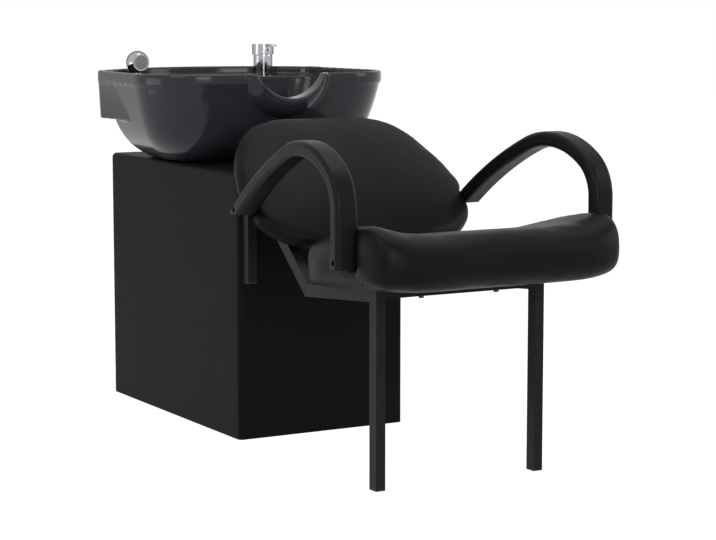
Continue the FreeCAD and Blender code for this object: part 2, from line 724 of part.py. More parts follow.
def arm_bolt_lines():
    """Start and direction of the bolts through the right-hand arm, at the seats of their heads."""
    foot = at(ARM_MID + ARM_WIDTH / 4, ARM_FOOT_AHEAD, ARM_FOOT_HEIGHT + ARM_BOLT_SEAT_RISE)
    rear = arm_back_bolt()
    run = (FACE_Y - rear.y) - ARM_FOOT_AHEAD
    rear.x = ARM_MID + ARM_WIDTH / 4 + run * math.tan(ARM_TOE_IN)
    return [(foot, ACROSS * -1), (rear, ACROSS * -1)]


def arm_bolts_right():
    (foot, inward), (rear, _) = arm_bolt_lines()
    bracket_face = SEAT_HALF_WIDTH - ARM_BRACKET_INSET - ARM_BRACKET
    ends = (bracket_face - BOLT_GRIP, BACK_BOARD_HALF - 4 * BOLT_GRIP)
    bolts = []
    for start, end in zip((foot, rear), ends):
        shank = rod(M6_RADIUS, start, inward, start.x - end)
        head = rod(M6_HEAD_RADIUS, start, inward * -1, M6_HEAD)
        bolts.append(shank.fuse(head).removeSplitter())
    return bolts


def arm_bolts():
    return both_sides(arm_bolts_right())


def arm_bolt_holes():
    """Clearance around the arm bolts where they pass through a cushion."""
    holes = []
    for bolt, (start, inward) in zip(arm_bolts_right(), arm_bolt_lines()):
        length = bolt.BoundBox.XLength - M6_HEAD + BOLT_PLAY
        holes.append(rod(M6_RADIUS + BOLT_PLAY, start, inward, length))
    return both_sides(holes)


def arm_bracket():
    """Steel angle on the seat board that takes the arm's front bolt."""
    outer = SEAT_HALF_WIDTH - ARM_BRACKET_INSET
    foot = arm_bolt_lines()[0][0]
    middle = (FACE_Y - foot.y - RAIL_REACH) / math.cos(SEAT_TILT)
    low, high = middle - ARM_BRACKET_WIDTH / 2, middle + ARM_BRACKET_WIDTH / 2
    rise = foot.z - rail_top(RAIL_REACH) - math.tan(SEAT_TILT) * middle + ARM_BRACKET_WIDTH / 2
    flat = seat_box(outer - ARM_BRACKET_LEG, outer, low, high, SEAT_BOARD, SEAT_BOARD + ARM_BRACKET)
    wall = seat_box(outer - ARM_BRACKET, outer, low, high, SEAT_BOARD, rise)
    return flat.fuse(wall).removeSplitter().cut(arm_bolts_right()[0])


def arm_brackets():
    return both_sides([arm_bracket()])


def cabinet_form(inset):
    """Rounded block of the cabinet, drawn in on the front, sides, back and top."""
    half = HALF_CABINET - inset
    block = box(-half, half, inset - CABINET_DEPTH, -inset, 0, CABINET_HEIGHT - inset)
    edges = [edge for edge in block.Edges if edge.BoundBox.ZMax > CABINET_ROUND]
    return block.makeFillet(CABINET_ROUND - inset, edges)


def top_holes():
    """Holes through the top for the drain, the hoses and the bowl bolts."""
    drain = rod(TOP_HOLE_RADIUS, at(0, DRAIN_AHEAD, TOP_UNDERSIDE), UP, BOARD + COVER)
    hoses = rod(HOSE_HOLE_RADIUS + GROMMET_WALL, at(0, HOSE_HOLE_AHEAD, TOP_UNDERSIDE), UP, BOARD + COVER)
    return [drain, hoses] + [rod(M8_RADIUS, place, UP, BOARD + COVER) for place in bowl_bolt_places()]


def front_holes():
    """Holes through the front for the post bolts."""
    holes = []
    for height in post_bolt_heights():
        for x in (-post_bolt_across(), post_bolt_across()):
            holes.append(rod(M6_RADIUS, at(x, FRONT_INNER, height), FORWARD, COVER + BOARD))
    return holes


def cabinet_cover():
    shell = cabinet_form(0).cut(cabinet_form(COVER))
    half = HALF_CABINET - COVER_RETURN
    opening = box(-half, half, -CABINET_DEPTH, PANEL_OUTER, 0, CABINET_HEIGHT - COVER_RETURN)
    return shell.cut([opening] + top_holes() + front_holes())


def cabinet_front():
    board = box(-HALF_CABINET, HALF_CABINET, FRONT_INNER, 0, 0, TOP_UNDERSIDE)
    return board.common(cabinet_form(COVER)).cut(front_holes())


def cabinet_side():
    board = box(SIDE_INNER, HALF_CABINET, -CABINET_DEPTH, FRONT_INNER, 0, TOP_UNDERSIDE)
    return board.common(cabinet_form(COVER))


def cabinet_top():
    board = box(-HALF_CABINET, HALF_CABINET, -CABINET_DEPTH, 0, TOP_UNDERSIDE, CABINET_HEIGHT)
    return board.common(cabinet_form(COVER)).cut(top_holes())


def cabinet_base():
    return box(-SIDE_INNER, SIDE_INNER, PANEL_INNER, FRONT_INNER, 0, BOARD)


def cabinet_battens():
    batten = box(SIDE_INNER - BATTEN, SIDE_INNER, PANEL_INNER, PANEL_INNER + BATTEN, BOARD, TOP_UNDERSIDE)
    return both_sides([batten]).cut(back_panel_screws())


def cabinet_back():
    half = SIDE_INNER - PANEL_PLAY
    panel = box(-half, half, PANEL_OUTER, PANEL_INNER, PANEL_PLAY, TOP_UNDERSIDE - PANEL_PLAY)
    slot = box(-SLOT_WIDTH / 2, SLOT_WIDTH / 2, PANEL_OUTER, PANEL_INNER, 0, SLOT_HEIGHT)
    return panel.cut(slot).cut(back_panel_screws())


def back_panel_screws():
    screws = []
    x = SIDE_INNER - BATTEN / 2
    for share in (0.1, 0.5, 0.9):
        place = at(x, PANEL_OUTER, TOP_UNDERSIDE * share)
        shank = rod(WOOD_SCREW_RADIUS, place, FORWARD, WOOD_SCREW_LENGTH)
        head = Part.makeCone(WOOD_SCREW_HEAD_RADIUS, WOOD_SCREW_RADIUS, WOOD_SCREW_HEAD, place, FORWARD)
        screws.append(shank.fuse(head).removeSplitter())
    return both_sides(screws)


def hose_grommet():
    start = at(0, HOSE_HOLE_AHEAD, TOP_UNDERSIDE)
    sleeve = rod(HOSE_HOLE_RADIUS + GROMMET_WALL, start, UP, BOARD + COVER)
    top = at(0, HOSE_HOLE_AHEAD, CABINET_HEIGHT)
    lip = rod(HOSE_HOLE_RADIUS + 2 * GROMMET_WALL, top, UP, GROMMET_WALL / 2)
    bore = rod(HOSE_HOLE_RADIUS, start, UP, BOARD + COVER + GROMMET_WALL)
    return sleeve.fuse(lip).cut(bore).removeSplitter()


def bowl_section(z, inset):
    """Plan outline of the bowl at one height, drawn in from its widest."""
    rear_half = BASIN_REAR_HALF - BOWL_INSET - inset
    front_half = BASIN_FRONT_HALF - BOWL_INSET - inset
    rear = -BOWL_REAR + inset * BOWL_REAR_STEEP
    front = -BASIN_FRONT - BOWL_INSET - inset
    front_cut = BOWL_FRONT_ROUND - inset * BOWL_REAR_STEEP
    corners = [(-rear_half, rear), (rear_half, rear), (front_half, front), (-front_half, front)]
    cuts = [BOWL_REAR_ROUND, BOWL_REAR_ROUND, front_cut, front_cut]
    return rounded_outline(lambda p: at(p.x, p.y, z), corners, cuts, [0] * 4)


def bowl_form(foot, wall):
    """Bowl as a solid loft from its foot to its rim, drawn in by a wall."""
    depth = BASIN_RIM - foot
    sections = []
    for rise, draw in BOWL_PROFILE:
        sections.append(bowl_section(foot + depth * rise, wall + BOWL_FOOT_INSET * draw))
    return Part.makeLoft(sections, True, False)


def rim_outline(height, rear_inset, front_inset):
    """Wire with the basin's rim outline, drawn in by its own amount at the rear and at the front."""
    rear, front = BASIN_REAR_HALF - rear_inset, BASIN_FRONT_HALF - front_inset
    rear_at, front_at = -BASIN_REAR_CORNER + rear_inset / 2, -BASIN_FRONT - front_inset
    corners = [(-rear, rear_at), (rear, rear_at), (front, front_at), (-front, front_at)]
    rear_cut = BASIN_RIM_WIDTH + BASIN_WALL
    cuts = [rear_cut, rear_cut, BOWL_FRONT_ROUND, BOWL_FRONT_ROUND]
    bow = BASIN_REAR_BOW - rear_inset / 2
    return rounded_outline(lambda p: at(p.x, p.y, height), corners, cuts, [bow, 0, 0, 0])


def rim_prism(inset, bottom, top):
    """Block with the basin's rim outline, drawn in evenly."""
    return Part.Face(rim_outline(bottom, inset, inset)).extrude(V(0, 0, top - bottom))


def housing(inset, bottom, top):
    """Skirt that hides the fittings' undersides: upright at the rear, running into the bowl at the front."""
    left = 1 - (top - bottom) / BASIN_SKIRT
    lower = rim_outline(bottom, inset + HOUSING_REAR_DRAW, inset + HOUSING_FRONT_DRAW)
    upper = rim_outline(top, inset + HOUSING_REAR_DRAW * left, inset + HOUSING_FRONT_DRAW * left)
    return Part.makeLoft([lower, upper], True, True)


def sag_radius(half, depth):
    """Radius of an arc from half its width and its depth."""
    return (half * half + depth * depth) / (2 * depth)


def notch_cut():
    """Round notch for the neck, across the front of the basin."""
    radius = sag_radius(NOTCH_HALF_WIDTH, NOTCH_DEPTH)
    start = at(0, -BASIN_FRONT - 2 * LIP_BACK, BASIN_RIM - NOTCH_DEPTH + radius)
    return rod(radius, start, FORWARD, 2 * (LIP_BACK + LIP_REACH))


def neck_lip():
    """Swelling around the notch: rises forwards from the wall, deepest at the bottom, level with the rim."""
    depth = NOTCH_DEPTH + LIP_HEIGHT
    radius = sag_radius(NOTCH_HALF_WIDTH + LIP_SIDE, depth)
    centre = BASIN_RIM - depth + radius
    inner, outer = -BASIN_FRONT - LIP_BACK, -BASIN_FRONT + LIP_REACH
    nose = radius - LIP_HEIGHT + LIP_ROUND
    swell = LIP_ROUND * MIDWAY
    foot, tip = at(0, inner, centre - radius), at(0, outer, centre - nose)
    middle = (foot + tip) / 2 + V(0, -swell, -swell)
    rear, front = at(0, inner, centre), at(0, outer, centre)
    edges = [Part.LineSegment(rear, foot).toShape(), Part.Arc(foot, middle, tip).toShape(),
             Part.LineSegment(tip, front).toShape(), Part.LineSegment(front, rear).toShape()]
    lip = Part.Face(Part.Wire(edges)).revolve(rear, FORWARD, 360)
    above = box(-2 * radius, 2 * radius, inner, outer, BASIN_RIM, centre + 2 * radius)
    return lip.cut(above)


def basin():
    """Bowl, apron, rear deck with its skirt, and neck notch with its rolled lip, as one moulding."""
    bowl = bowl_form(BOWL_FOOT, 0)
    body = bowl.fuse([rim_prism(0, BASIN_RIM - BASIN_APRON, BASIN_RIM), housing(0, SKIRT_BOTTOM, BASIN_RIM),
                      neck_lip()])
    hollow = housing(BASIN_WALL, SKIRT_BOTTOM, DECK_UNDERSIDE).cut(bowl)
    inside = rim_prism(BASIN_RIM_WIDTH, DECK, BASIN_RIM)
    body = body.cut([hollow, inside, bowl_form(BOWL_FLOOR_TOP, BASIN_WALL), notch_cut()])
    holes = [rod(DRAIN_BORE + DRAIN_WALL, at(0, DRAIN_AHEAD, BOWL_FOOT), UP, BASIN_FLOOR),
             rod(SHANK_RADIUS, at(MIXER_ACROSS, FITTING_AHEAD, DECK_UNDERSIDE), UP, BASIN_WALL),
             rod(holder_sleeve(), at(-MIXER_ACROSS, HOLDER_AHEAD, DECK_UNDERSIDE), UP, BASIN_WALL)]
    holes += [rod(M8_RADIUS, V(place.x, place.y, BOWL_FOOT), UP, BOLT_GRIP) for place in bowl_bolt_places()]
    return body.cut(holes).removeSplitter()


def basin_mat():
    """Rubber mat under the bowl's foot."""
    wire = bowl_section(CABINET_HEIGHT, BOWL_FOOT_INSET + 2 * BASIN_WALL)
    mat = Part.Face(wire).extrude(V(0, 0, BASIN_MAT))
    hole = rod(TOP_HOLE_RADIUS, at(0, DRAIN_AHEAD, CABINET_HEIGHT), UP, BASIN_MAT)
    places = [V(place.x, place.y, CABINET_HEIGHT) for place in bowl_bolt_places()]
    return mat.cut([hole] + [rod(M8_RADIUS, place, UP, BASIN_MAT) for place in places])


def bowl_bolt_places():
    """Places of the bolts that hold the bowl down, under the top board."""
    return [at(x, DRAIN_AHEAD, TOP_UNDERSIDE) for x in (-BOWL_BOLT_SPREAD, BOWL_BOLT_SPREAD)]


def bowl_bolts():
    bolts = []
    for place in bowl_bolt_places():
        seat = place - V(0, 0, WASHER)
        shank = rod(M8_RADIUS, seat, UP, BOWL_FOOT + BOLT_GRIP - seat.z)
        head = hexagon(M8_HEAD_FLATS, seat, DOWN, M8_HEAD)
        bolts.append(shank.fuse([head, rod(WASHER_RADIUS, seat, UP, WASHER)]).removeSplitter())
    return Part.makeCompound(bolts)


def drain_at(z):
    """Point on the drain's axis."""
    return at(0, DRAIN_AHEAD, z)


def drain_flange():
    outer = DRAIN_BORE + DRAIN_WALL
    tube = pipe(outer, DRAIN_BORE, drain_at(BOWL_FLOOR_TOP - DRAIN_DROP), UP, DRAIN_DROP + DRAIN_FLANGE)
    flange = pipe(DRAIN_FLANGE_RADIUS, DRAIN_BORE, drain_at(BOWL_FLOOR_TOP), UP, DRAIN_FLANGE)
    return tube.fuse(flange).removeSplitter()


def drain_gasket():
    outer = DRAIN_BORE + DRAIN_WALL
    return pipe(DRAIN_NUT_FLATS / 2, outer, drain_at(BOWL_FOOT - DRAIN_GASKET), UP, DRAIN_GASKET)


def drain_nut():
    top = BOWL_FOOT - DRAIN_GASKET
    nut = hexagon(DRAIN_NUT_FLATS, drain_at(top - DRAIN_NUT), UP, DRAIN_NUT)
    return nut.cut(rod(DRAIN_BORE + DRAIN_WALL, drain_at(top - DRAIN_NUT), UP, DRAIN_NUT))


def hair_strainer():
    """Perforated cup that lifts out of the drain, with a rim and a finger knob."""
    radius = DRAIN_BORE - RUNNING_CLEARANCE * 6
    floor = BOWL_FLOOR_TOP - STRAINER_DEPTH
    rim_top = BOWL_FLOOR_TOP + DRAIN_FLANGE + TURN_GAP
    cup = pipe(radius, radius - STRAINER_WALL, drain_at(floor), UP, rim_top - floor)
    plate = rod(radius, drain_at(floor), UP, STRAINER_FLOOR)
    rim = pipe(DRAIN_BORE + 2 * DRAIN_WALL, radius - STRAINER_WALL, drain_at(rim_top), UP, STRAINER_WALL)
    knob = rod(DRAIN_WALL, drain_at(floor), UP, rim_top - floor + 2 * DRAIN_WALL)
    basket = cup.fuse([plate, rim, knob])
    for ring, count in STRAINER_RINGS:
        for k in range(count):
            angle = 2 * math.pi * k / count
            place = drain_at(floor) + V(math.cos(angle), math.sin(angle), 0) * radius * ring
            basket = basket.cut(rod(STRAINER_HOLE_RADIUS, place, UP, STRAINER_FLOOR))
    return basket.removeSplitter()


def tail_top():
    """Height of the tailpiece's upper end, just under the drain tube."""
    return BOWL_FLOOR_TOP - DRAIN_DROP


def tailpiece():
    low = tail_top() - TAIL_LENGTH
    tube = pipe(PIPE_RADIUS, PIPE_RADIUS - PIPE_WALL, drain_at(low), UP, TAIL_LENGTH)
    bore = PIPE_RADIUS - PIPE_WALL
    cup = pipe(DRAIN_BORE + 2 * DRAIN_WALL, bore, drain_at(tail_top() - DRAIN_NUT), UP, DRAIN_NUT)
    return tube.fuse(cup).removeSplitter()


def trap_top():
    return tail_top() - TAIL_SHOWING


def trap_nut():
    nut = hexagon(TRAP_NUT_FLATS, drain_at(trap_top()), UP, DRAIN_NUT)
    return nut.cut(rod(PIPE_RADIUS, drain_at(trap_top()), UP, DRAIN_NUT))


def trap_bottle():
    low = trap_top() - TRAP_HEIGHT
    body = rod(TRAP_RADIUS, drain_at(low), UP, TRAP_HEIGHT)
    hollow = rod(TRAP_RADIUS - PIPE_WALL, drain_at(low + PIPE_WALL), UP, TRAP_HEIGHT - 2 * PIPE_WALL)
    boss = rod(PIPE_RADIUS + 2 * PIPE_WALL, outlet_start(), REARWARD, TRAP_RADIUS + TRAP_BOSS)
    inlet = rod(PIPE_RADIUS, drain_at(trap_top() - 2 * PIPE_WALL), UP, 2 * PIPE_WALL)
    outlet = rod(PIPE_RADIUS - PIPE_WALL, outlet_start(), REARWARD, TRAP_RADIUS + TRAP_BOSS)
    return body.fuse(boss).cut([hollow, inlet, outlet]).removeSplitter()


def outlet_start():
    return drain_at(trap_top() - OUTLET_DROP)


def trap_outlet():
    start = outlet_start() + REARWARD * (TRAP_RADIUS + TRAP_BOSS)
    return pipe(PIPE_RADIUS, PIPE_RADIUS - PIPE_WALL, start, REARWARD, OUTLET_LENGTH)


def mixer_at(z):
    """Point on the mixer's axis."""
    return at(MIXER_ACROSS, FITTING_AHEAD, z)


def mixer_ring():
    return pipe(MIXER_RING_RADIUS, SHANK_RADIUS, mixer_at(DECK), UP, MIXER_RING)


def mixer_shank():
    return rod(SHANK_RADIUS, mixer_at(DECK + MIXER_RING - SHANK_LENGTH), UP, SHANK_LENGTH)


def mixer_nut():
    low = DECK_UNDERSIDE - SHANK_NUT
    nut = hexagon(SHANK_NUT_FLATS, mixer_at(low), UP, SHANK_NUT)
    return nut.cut(rod(SHANK_RADIUS, mixer_at(low), UP, SHANK_NUT))


def mixer_body():
    low = DECK + MIXER_RING
    body = rod(MIXER_RADIUS, mixer_at(low), UP, MIXER_PIVOT - low)
    return body.cut(rod(MIXER_BORE, mixer_at(MIXER_PIVOT - CARTRIDGE_DEPTH), UP, CARTRIDGE_DEPTH))


def mixer_cartridge():
    low = MIXER_PIVOT - CARTRIDGE_DEPTH
    return pipe(MIXER_BORE, SPIGOT_RADIUS, mixer_at(low), UP, CARTRIDGE_DEPTH - ROTOR_DEPTH)


def lever_slot():
    """Room in the rotor for the lever's stem and its swing."""
    reach = MIXER_CAP_RADIUS * math.sin(LEVER_LIFT) + STEM
    half = STEM / 2 + TURN_GAP
    low = MIXER_PIVOT - STEM
    ahead = FITTING_AHEAD
    return box(MIXER_ACROSS - half, MIXER_ACROSS + half, ahead - reach, ahead + reach, low, low + 4 * STEM)


def pin_rod(radius):
    """Bar along the lever's pivot axis."""
    length = 2 * (MIXER_BORE - 2 * PIN_RADIUS)
    return rod(radius, mixer_at(MIXER_PIVOT) - V(length / 2, 0, 0), ACROSS, length)


def mixer_rotor():
    """Turning head of the cartridge: spigot, drum and dome with a slot for the lever's stem."""
    low = MIXER_PIVOT - ROTOR_DEPTH + TURN_GAP
    drum = rod(MIXER_BORE - RUNNING_CLEARANCE, mixer_at(low), UP, MIXER_PIVOT - low + 2 * TURN_GAP)
    spigot = rod(SPIGOT_RADIUS - RUNNING_CLEARANCE, mixer_at(low - SPIGOT_LENGTH), UP, SPIGOT_LENGTH)
    dome = Part.makeSphere(MIXER_RADIUS - TURN_GAP, mixer_at(MIXER_PIVOT))
    dome = dome.common(rod(MIXER_CAP_RADIUS, mixer_at(MIXER_PIVOT + TURN_GAP), UP, MIXER_CAP_RADIUS))
    return drum.fuse([spigot, dome]).cut([lever_slot(), pin_rod(PIN_RADIUS)]).removeSplitter()


def mixer_pin():
    return pin_rod(PIN_RADIUS)


def mixer_lever():
    """Cap over the dome with its blade pointing over the bowl, and the stem on the pivot pin."""
    foot = MIXER_PIVOT + MIXER_CAP_FOOT
    top = MIXER_PIVOT + MIXER_CAP_RISE
    cap = rod(MIXER_CAP_RADIUS, mixer_at(foot), UP, top - foot)
    cap = cap.cut(Part.makeSphere(MIXER_RADIUS + MIXER_DOME_GAP, mixer_at(MIXER_PIVOT)))
    half = LEVER_WIDTH / 2
    tip = half * LEVER_TAPER
    corners = [(-half, 0), (half, 0), (tip, LEVER_LENGTH), (-tip, LEVER_LENGTH)]
    cuts = [LEVER_FOOT_ROUND] * 2 + [half * LEVER_END_ROUND] * 2
    foot_of_blade = mixer_at(top - LEVER_THICKNESS)
    wire = rounded_outline(lambda p: foot_of_blade + V(p.x, -p.y, 0), corners, cuts, [0] * 4)
    blade = Part.Face(wire).extrude(V(0, 0, LEVER_THICKNESS))
    blade = blade.cut(Part.makeSphere(MIXER_RADIUS + MIXER_DOME_GAP, mixer_at(MIXER_PIVOT)))
    stem = box(MIXER_ACROSS - STEM / 2, MIXER_ACROSS + STEM / 2, FITTING_AHEAD - STEM / 2,
               FITTING_AHEAD + STEM / 2, MIXER_PIVOT - STEM / 2, top - MIXER_DOME_GAP)
    lever = cap.fuse([blade, stem]).cut([pin_rod(PIN_RADIUS + RUNNING_CLEARANCE), plug_rod()])
    return lever.removeSplitter()


def plug_rod():
    """Small plug over the lever's set screw, in the cap's front."""
    start = mixer_at(MIXER_PIVOT + MIXER_CAP_RISE / 2) + FORWARD * (MIXER_CAP_RADIUS - PLUG_DEPTH)
    cap = rod(MIXER_CAP_RADIUS, mixer_at(MIXER_PIVOT), UP, MIXER_CAP_RISE)
    return rod(PLUG_RADIUS, start, FORWARD, PLUG_DEPTH * 2).common(cap)


def inlet_places():
    """Places across of the cold and hot inlet tails."""
    return MIXER_ACROSS - INLET_SPREAD / 2, MIXER_ACROSS + INLET_SPREAD / 2


def inlet_tail(x):
    top = DECK + MIXER_RING - SHANK_LENGTH
    low = at(x, FITTING_AHEAD, top - INLET_LENGTH)
    return pipe(INLET_RADIUS, INLET_RADIUS - INLET_WALL, low, UP, INLET_LENGTH)


def holder_sleeve():
    """Outer radius of the sprayer holder's sleeve."""
    return SPRAY_SHANK_RADIUS + SPRAY_PLAY + HOLDER_WALL


def holder_at(z):
    """Point on the sprayer holder's axis."""
    return at(-MIXER_ACROSS, HOLDER_AHEAD, z)


def spray_holder():
    bore = SPRAY_SHANK_RADIUS + SPRAY_PLAY
    flange = Part.makeCone(HOLDER_RADIUS, holder_sleeve(), HOLDER_FLANGE, holder_at(DECK), UP)
    sleeve = rod(holder_sleeve(), holder_at(DECK - HOLDER_DROP), UP, HOLDER_DROP)
    cut = rod(bore, holder_at(DECK - HOLDER_DROP), UP, HOLDER_DROP + HOLDER_FLANGE)
    return flange.fuse(sleeve).cut(cut).removeSplitter()


def spray_holder_nut():
    low = DECK_UNDERSIDE - SHANK_NUT
    nut = hexagon(HOLDER_NUT_FLATS, holder_at(low), UP, SHANK_NUT)
    return nut.cut(rod(holder_sleeve(), holder_at(low), UP, SHANK_NUT))


def ball_centre():
    return at(-MIXER_ACROSS, FITTING_AHEAD, DECK + SPRAY_BALL_RISE)


def face_plane():
    """Distance of the spray face ahead of the ball's centre."""
    return math.sqrt(SPRAY_BALL_RADIUS ** 2 - (SPRAY_FACE_RADIUS + SPRAY_BEZEL) ** 2)


def sprayer_body():
    """Hand sprayer: shank in the holder, neck, and round head open to its spray face."""
    rest = DECK + HOLDER_FLANGE + TURN_GAP
    low = DECK - SPRAY_SHANK_DROP
    shank = rod(SPRAY_SHANK_RADIUS, holder_at(low), UP, ball_centre().z - low)
    neck = Part.makeCone(holder_sleeve(), SPRAY_SHANK_RADIUS, ball_centre().z - rest, holder_at(rest), UP)
    ball = Part.makeSphere(SPRAY_BALL_RADIUS, ball_centre())
    keep = box(-2 * MIXER_ACROSS, 0, -BASIN_REACH, FITTING_AHEAD + face_plane(), rest, BASIN_RIM * 2)
    ball = ball.common(keep)
    body = shank.fuse([neck, ball])
    seat = ball_centre() + FORWARD * (face_plane() - SPRAY_FACE)
    body = body.cut(rod(SPRAY_FACE_RADIUS, seat, FORWARD, SPRAY_BALL_RADIUS))
    return body.cut(rod(NIPPLE_RADIUS, holder_at(low), UP, NIPPLE_LENGTH / 2)).removeSplitter()


def sprayer_face():
    """Dark spray plate with its ring of nozzles."""
    start = ball_centre() + FORWARD * (face_plane() - SPRAY_FACE)
    plate = rod(SPRAY_FACE_RADIUS, start, FORWARD, SPRAY_FACE)
    nozzles = []
    for ring, count in NOZZLE_RINGS:
        for k in range(count):
            angle = 2 * math.pi * k / count
            offset = V(math.cos(angle), 0, math.sin(angle)) * SPRAY_FACE_RADIUS * ring
            nozzles.append(rod(NOZZLE_RADIUS, start + offset, FORWARD, SPRAY_FACE + NOZZLE_RADIUS))
    return plate.fuse(nozzles).removeSplitter()


def sprayer_bezel():
    start = ball_centre() + FORWARD * face_plane()
    return pipe(SPRAY_FACE_RADIUS + SPRAY_BEZEL, SPRAY_FACE_RADIUS, start, FORWARD, SPRAY_BEZEL / 2)


def sprayer_nipple():
    low = DECK - SPRAY_SHANK_DROP - NIPPLE_LENGTH / 2
    return pipe(NIPPLE_RADIUS, NIPPLE_RADIUS / 2, holder_at(low), UP, NIPPLE_LENGTH)


def pieces():
    """Every node of the chair with its shape."""
    return {
        "cabinet_cover": cabinet_cover(),
        "cabinet_front": cabinet_front(),
        "cabinet_side_right": cabinet_side(),
        "cabinet_side_left": mirrored(cabinet_side()),
        "cabinet_top": cabinet_top(),
        "cabinet_base": cabinet_base(),
        "cabinet_battens": cabinet_battens(),
        "cabinet_back": cabinet_back(),
        "back_panel_screws": back_panel_screws(),
        "hose_grommet": hose_grommet(),
        "leg_right": leg(),
        "leg_left": mirrored(leg()),
        "side_rail_right": side_rail(),
        "side_rail_left": mirrored(side_rail()),
        "stay_right": stay(),
        "stay_left": mirrored(stay()),
        "post_right": post(),
        "post_left": mirrored(post()),
        "front_cross_rail": cross_rail(FRONT_CROSS_AT),
        "rear_cross_rail": cross_rail(REAR_CROSS_AT),
        "upper_cross_rail": upper_cross_rail(),
        "leg_caps": leg_caps(),
        "post_caps": post_caps(),
        "post_bolts": post_bolts(),
        "seat_board": seat_board(),
        "seat_cushion": seat_cushion(),
        "seat_screws": seat_screws(),
        "back_board": back_board(),
        "back_cushion": back_cushion(),
        "back_rear_panel": back_panel(),
        "back_plates": both_sides([back_plate()]),
        "back_screws": back_screws(),
        "armrest_right": armrest(),
        "armrest_left": mirrored(armrest()),
        "arm_brackets": arm_brackets(),
        "arm_bolts": arm_bolts(),
        "basin": basin(),
        "basin_mat": basin_mat(),
        "bowl_bolts": bowl_bolts(),
        "drain_flange": drain_flange(),
        "drain_gasket": drain_gasket(),
        "drain_nut": drain_nut(),
        "hair_strainer": hair_strainer(),
        "tailpiece": tailpiece(),
        "trap_nut": trap_nut(),
        "trap_bottle": trap_bottle(),
        "trap_outlet": trap_outlet(),
        "mixer_ring": mixer_ring(),
        "mixer_shank": mixer_shank(),
        "mixer_nut": mixer_nut(),
        "mixer_body": mixer_body(),
        "mixer_cartridge": mixer_cartridge(),
        "mixer_rotor": mixer_rotor(),
        "mixer_pin": mixer_pin(),
        "mixer_lever": mixer_lever(),
        "mixer_plug": plug_rod(),
        "inlet_tails": Part.makeCompound([inlet_tail(x) for x in inlet_places()]),
        "spray_holder": spray_holder().fuse(spray_holder_nut()).removeSplitter(),
        "sprayer_body": sprayer_body().fuse([sprayer_bezel(), sprayer_nipple()]).removeSplitter(),
        "sprayer_face": sprayer_face(),
    }


def main():
    os.makedirs("parts", exist_ok=True)
    for name, shape in pieces().items():
        shape.exportStep("parts/%s.step" % name)
        print(name, shape.isValid(), len(shape.Solids), round(shape.Volume / 1000, 1), "cm3", shape.BoundBox)


main()
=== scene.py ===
"""Dresses the shampoo chair: upholstery, moulded basin, powder-coated tubes and chrome fittings."""
import math

import bpy
import numpy as np
from mathutils import Matrix, Vector
from mathutils.bvhtree import BVHTree

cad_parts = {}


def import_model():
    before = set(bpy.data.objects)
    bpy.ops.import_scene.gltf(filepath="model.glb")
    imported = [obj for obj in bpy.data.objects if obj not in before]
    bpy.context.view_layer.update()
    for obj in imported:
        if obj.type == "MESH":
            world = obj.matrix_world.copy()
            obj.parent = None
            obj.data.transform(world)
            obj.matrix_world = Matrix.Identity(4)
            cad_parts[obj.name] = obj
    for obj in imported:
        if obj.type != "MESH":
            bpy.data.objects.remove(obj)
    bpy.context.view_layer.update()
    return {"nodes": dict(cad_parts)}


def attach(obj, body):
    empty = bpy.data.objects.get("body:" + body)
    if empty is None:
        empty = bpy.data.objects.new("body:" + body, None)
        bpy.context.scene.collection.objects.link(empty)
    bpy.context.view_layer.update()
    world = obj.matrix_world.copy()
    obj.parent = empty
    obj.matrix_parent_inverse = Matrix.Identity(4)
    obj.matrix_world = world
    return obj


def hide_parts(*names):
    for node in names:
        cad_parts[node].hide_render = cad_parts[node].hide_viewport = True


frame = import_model()
nodes = frame["nodes"]

QUARTER = 0.5 * math.pi

# Sizes shared with the solids, in metres
FACE_Y = 0.023
RAIL_REACH = 0.2704
RAIL_HEIGHT = 0.3333
RAIL_DEPTH = 0.025
SEAT_TILT = math.radians(4.65)
RAIL_TOP = RAIL_HEIGHT + RAIL_DEPTH / math.cos(SEAT_TILT)
BACK_LEAN = math.radians(40.0)
SEAT_HALF = 0.275
BACK_BASE = 0.0335

# Camera
CAMERA_PLACE = (-2.14188, -3.86344, 0.90883)
CAMERA_HEADING = math.radians(29.8265)
CAMERA_PITCH = math.radians(7.2547)
CAMERA_LENS = 107.047
CAMERA_SENSOR = 36.0

# Rays that show the white background, and the room's light for those that show it and for the others
SHOWING_RAYS = ("Is Camera Ray", "Is Glossy Ray", "Is Transmission Ray")
SHOWN_WHITE = 1.0
ROOM_LIGHT = 0.55

# Lamps: place, target, width, height and watts
LAMPS = {
    "key": ((-2.6, -1.2, 2.6), (0, 0.2, 0.5), 1.6, 1.6, 40),
    "front": ((-0.9, -3.4, 1.3), (0, -0.3, 0.45), 1.6, 1.2, 46),
    "top": ((0.2, -0.3, 3.2), (0, 0, 0.5), 2.4, 2.0, 36),
    "side": ((2.8, -1.6, 1.6), (0, -0.2, 0.5), 1.2, 1.8, 30),
    "window": ((-1.9, 0.72, 0.42), (-0.29, 0.3, 0.7), 1.0, 0.7, 6),
}

# Floor
FLOOR_HALF = 12.0
FLOOR_DROP = 0.0005
FLOOR_SHADE = (0.9, 0.9, 0.9, 1)
FLOOR_GLOW = 1.24
FLOOR_GLOW_SHARE = 0.75

# Noise values at which a finish has its dark and light shade, and its least and most wear
SHADE_FROM = 0.35
SHADE_TO = 0.68
WEAR_FROM = 0.3
WEAR_TO = 0.7

# Leatherette: noise cells in a metre, and depths in metres
LEATHER_PATCHES = 9.0
LEATHER_WEAR = 38.0
LEATHER_SLACK = 14.0
LEATHER_SLACK_DEPTH = 0.004
PEBBLE_DEPTH = 0.0003
PEBBLE_STRENGTH = 0.35

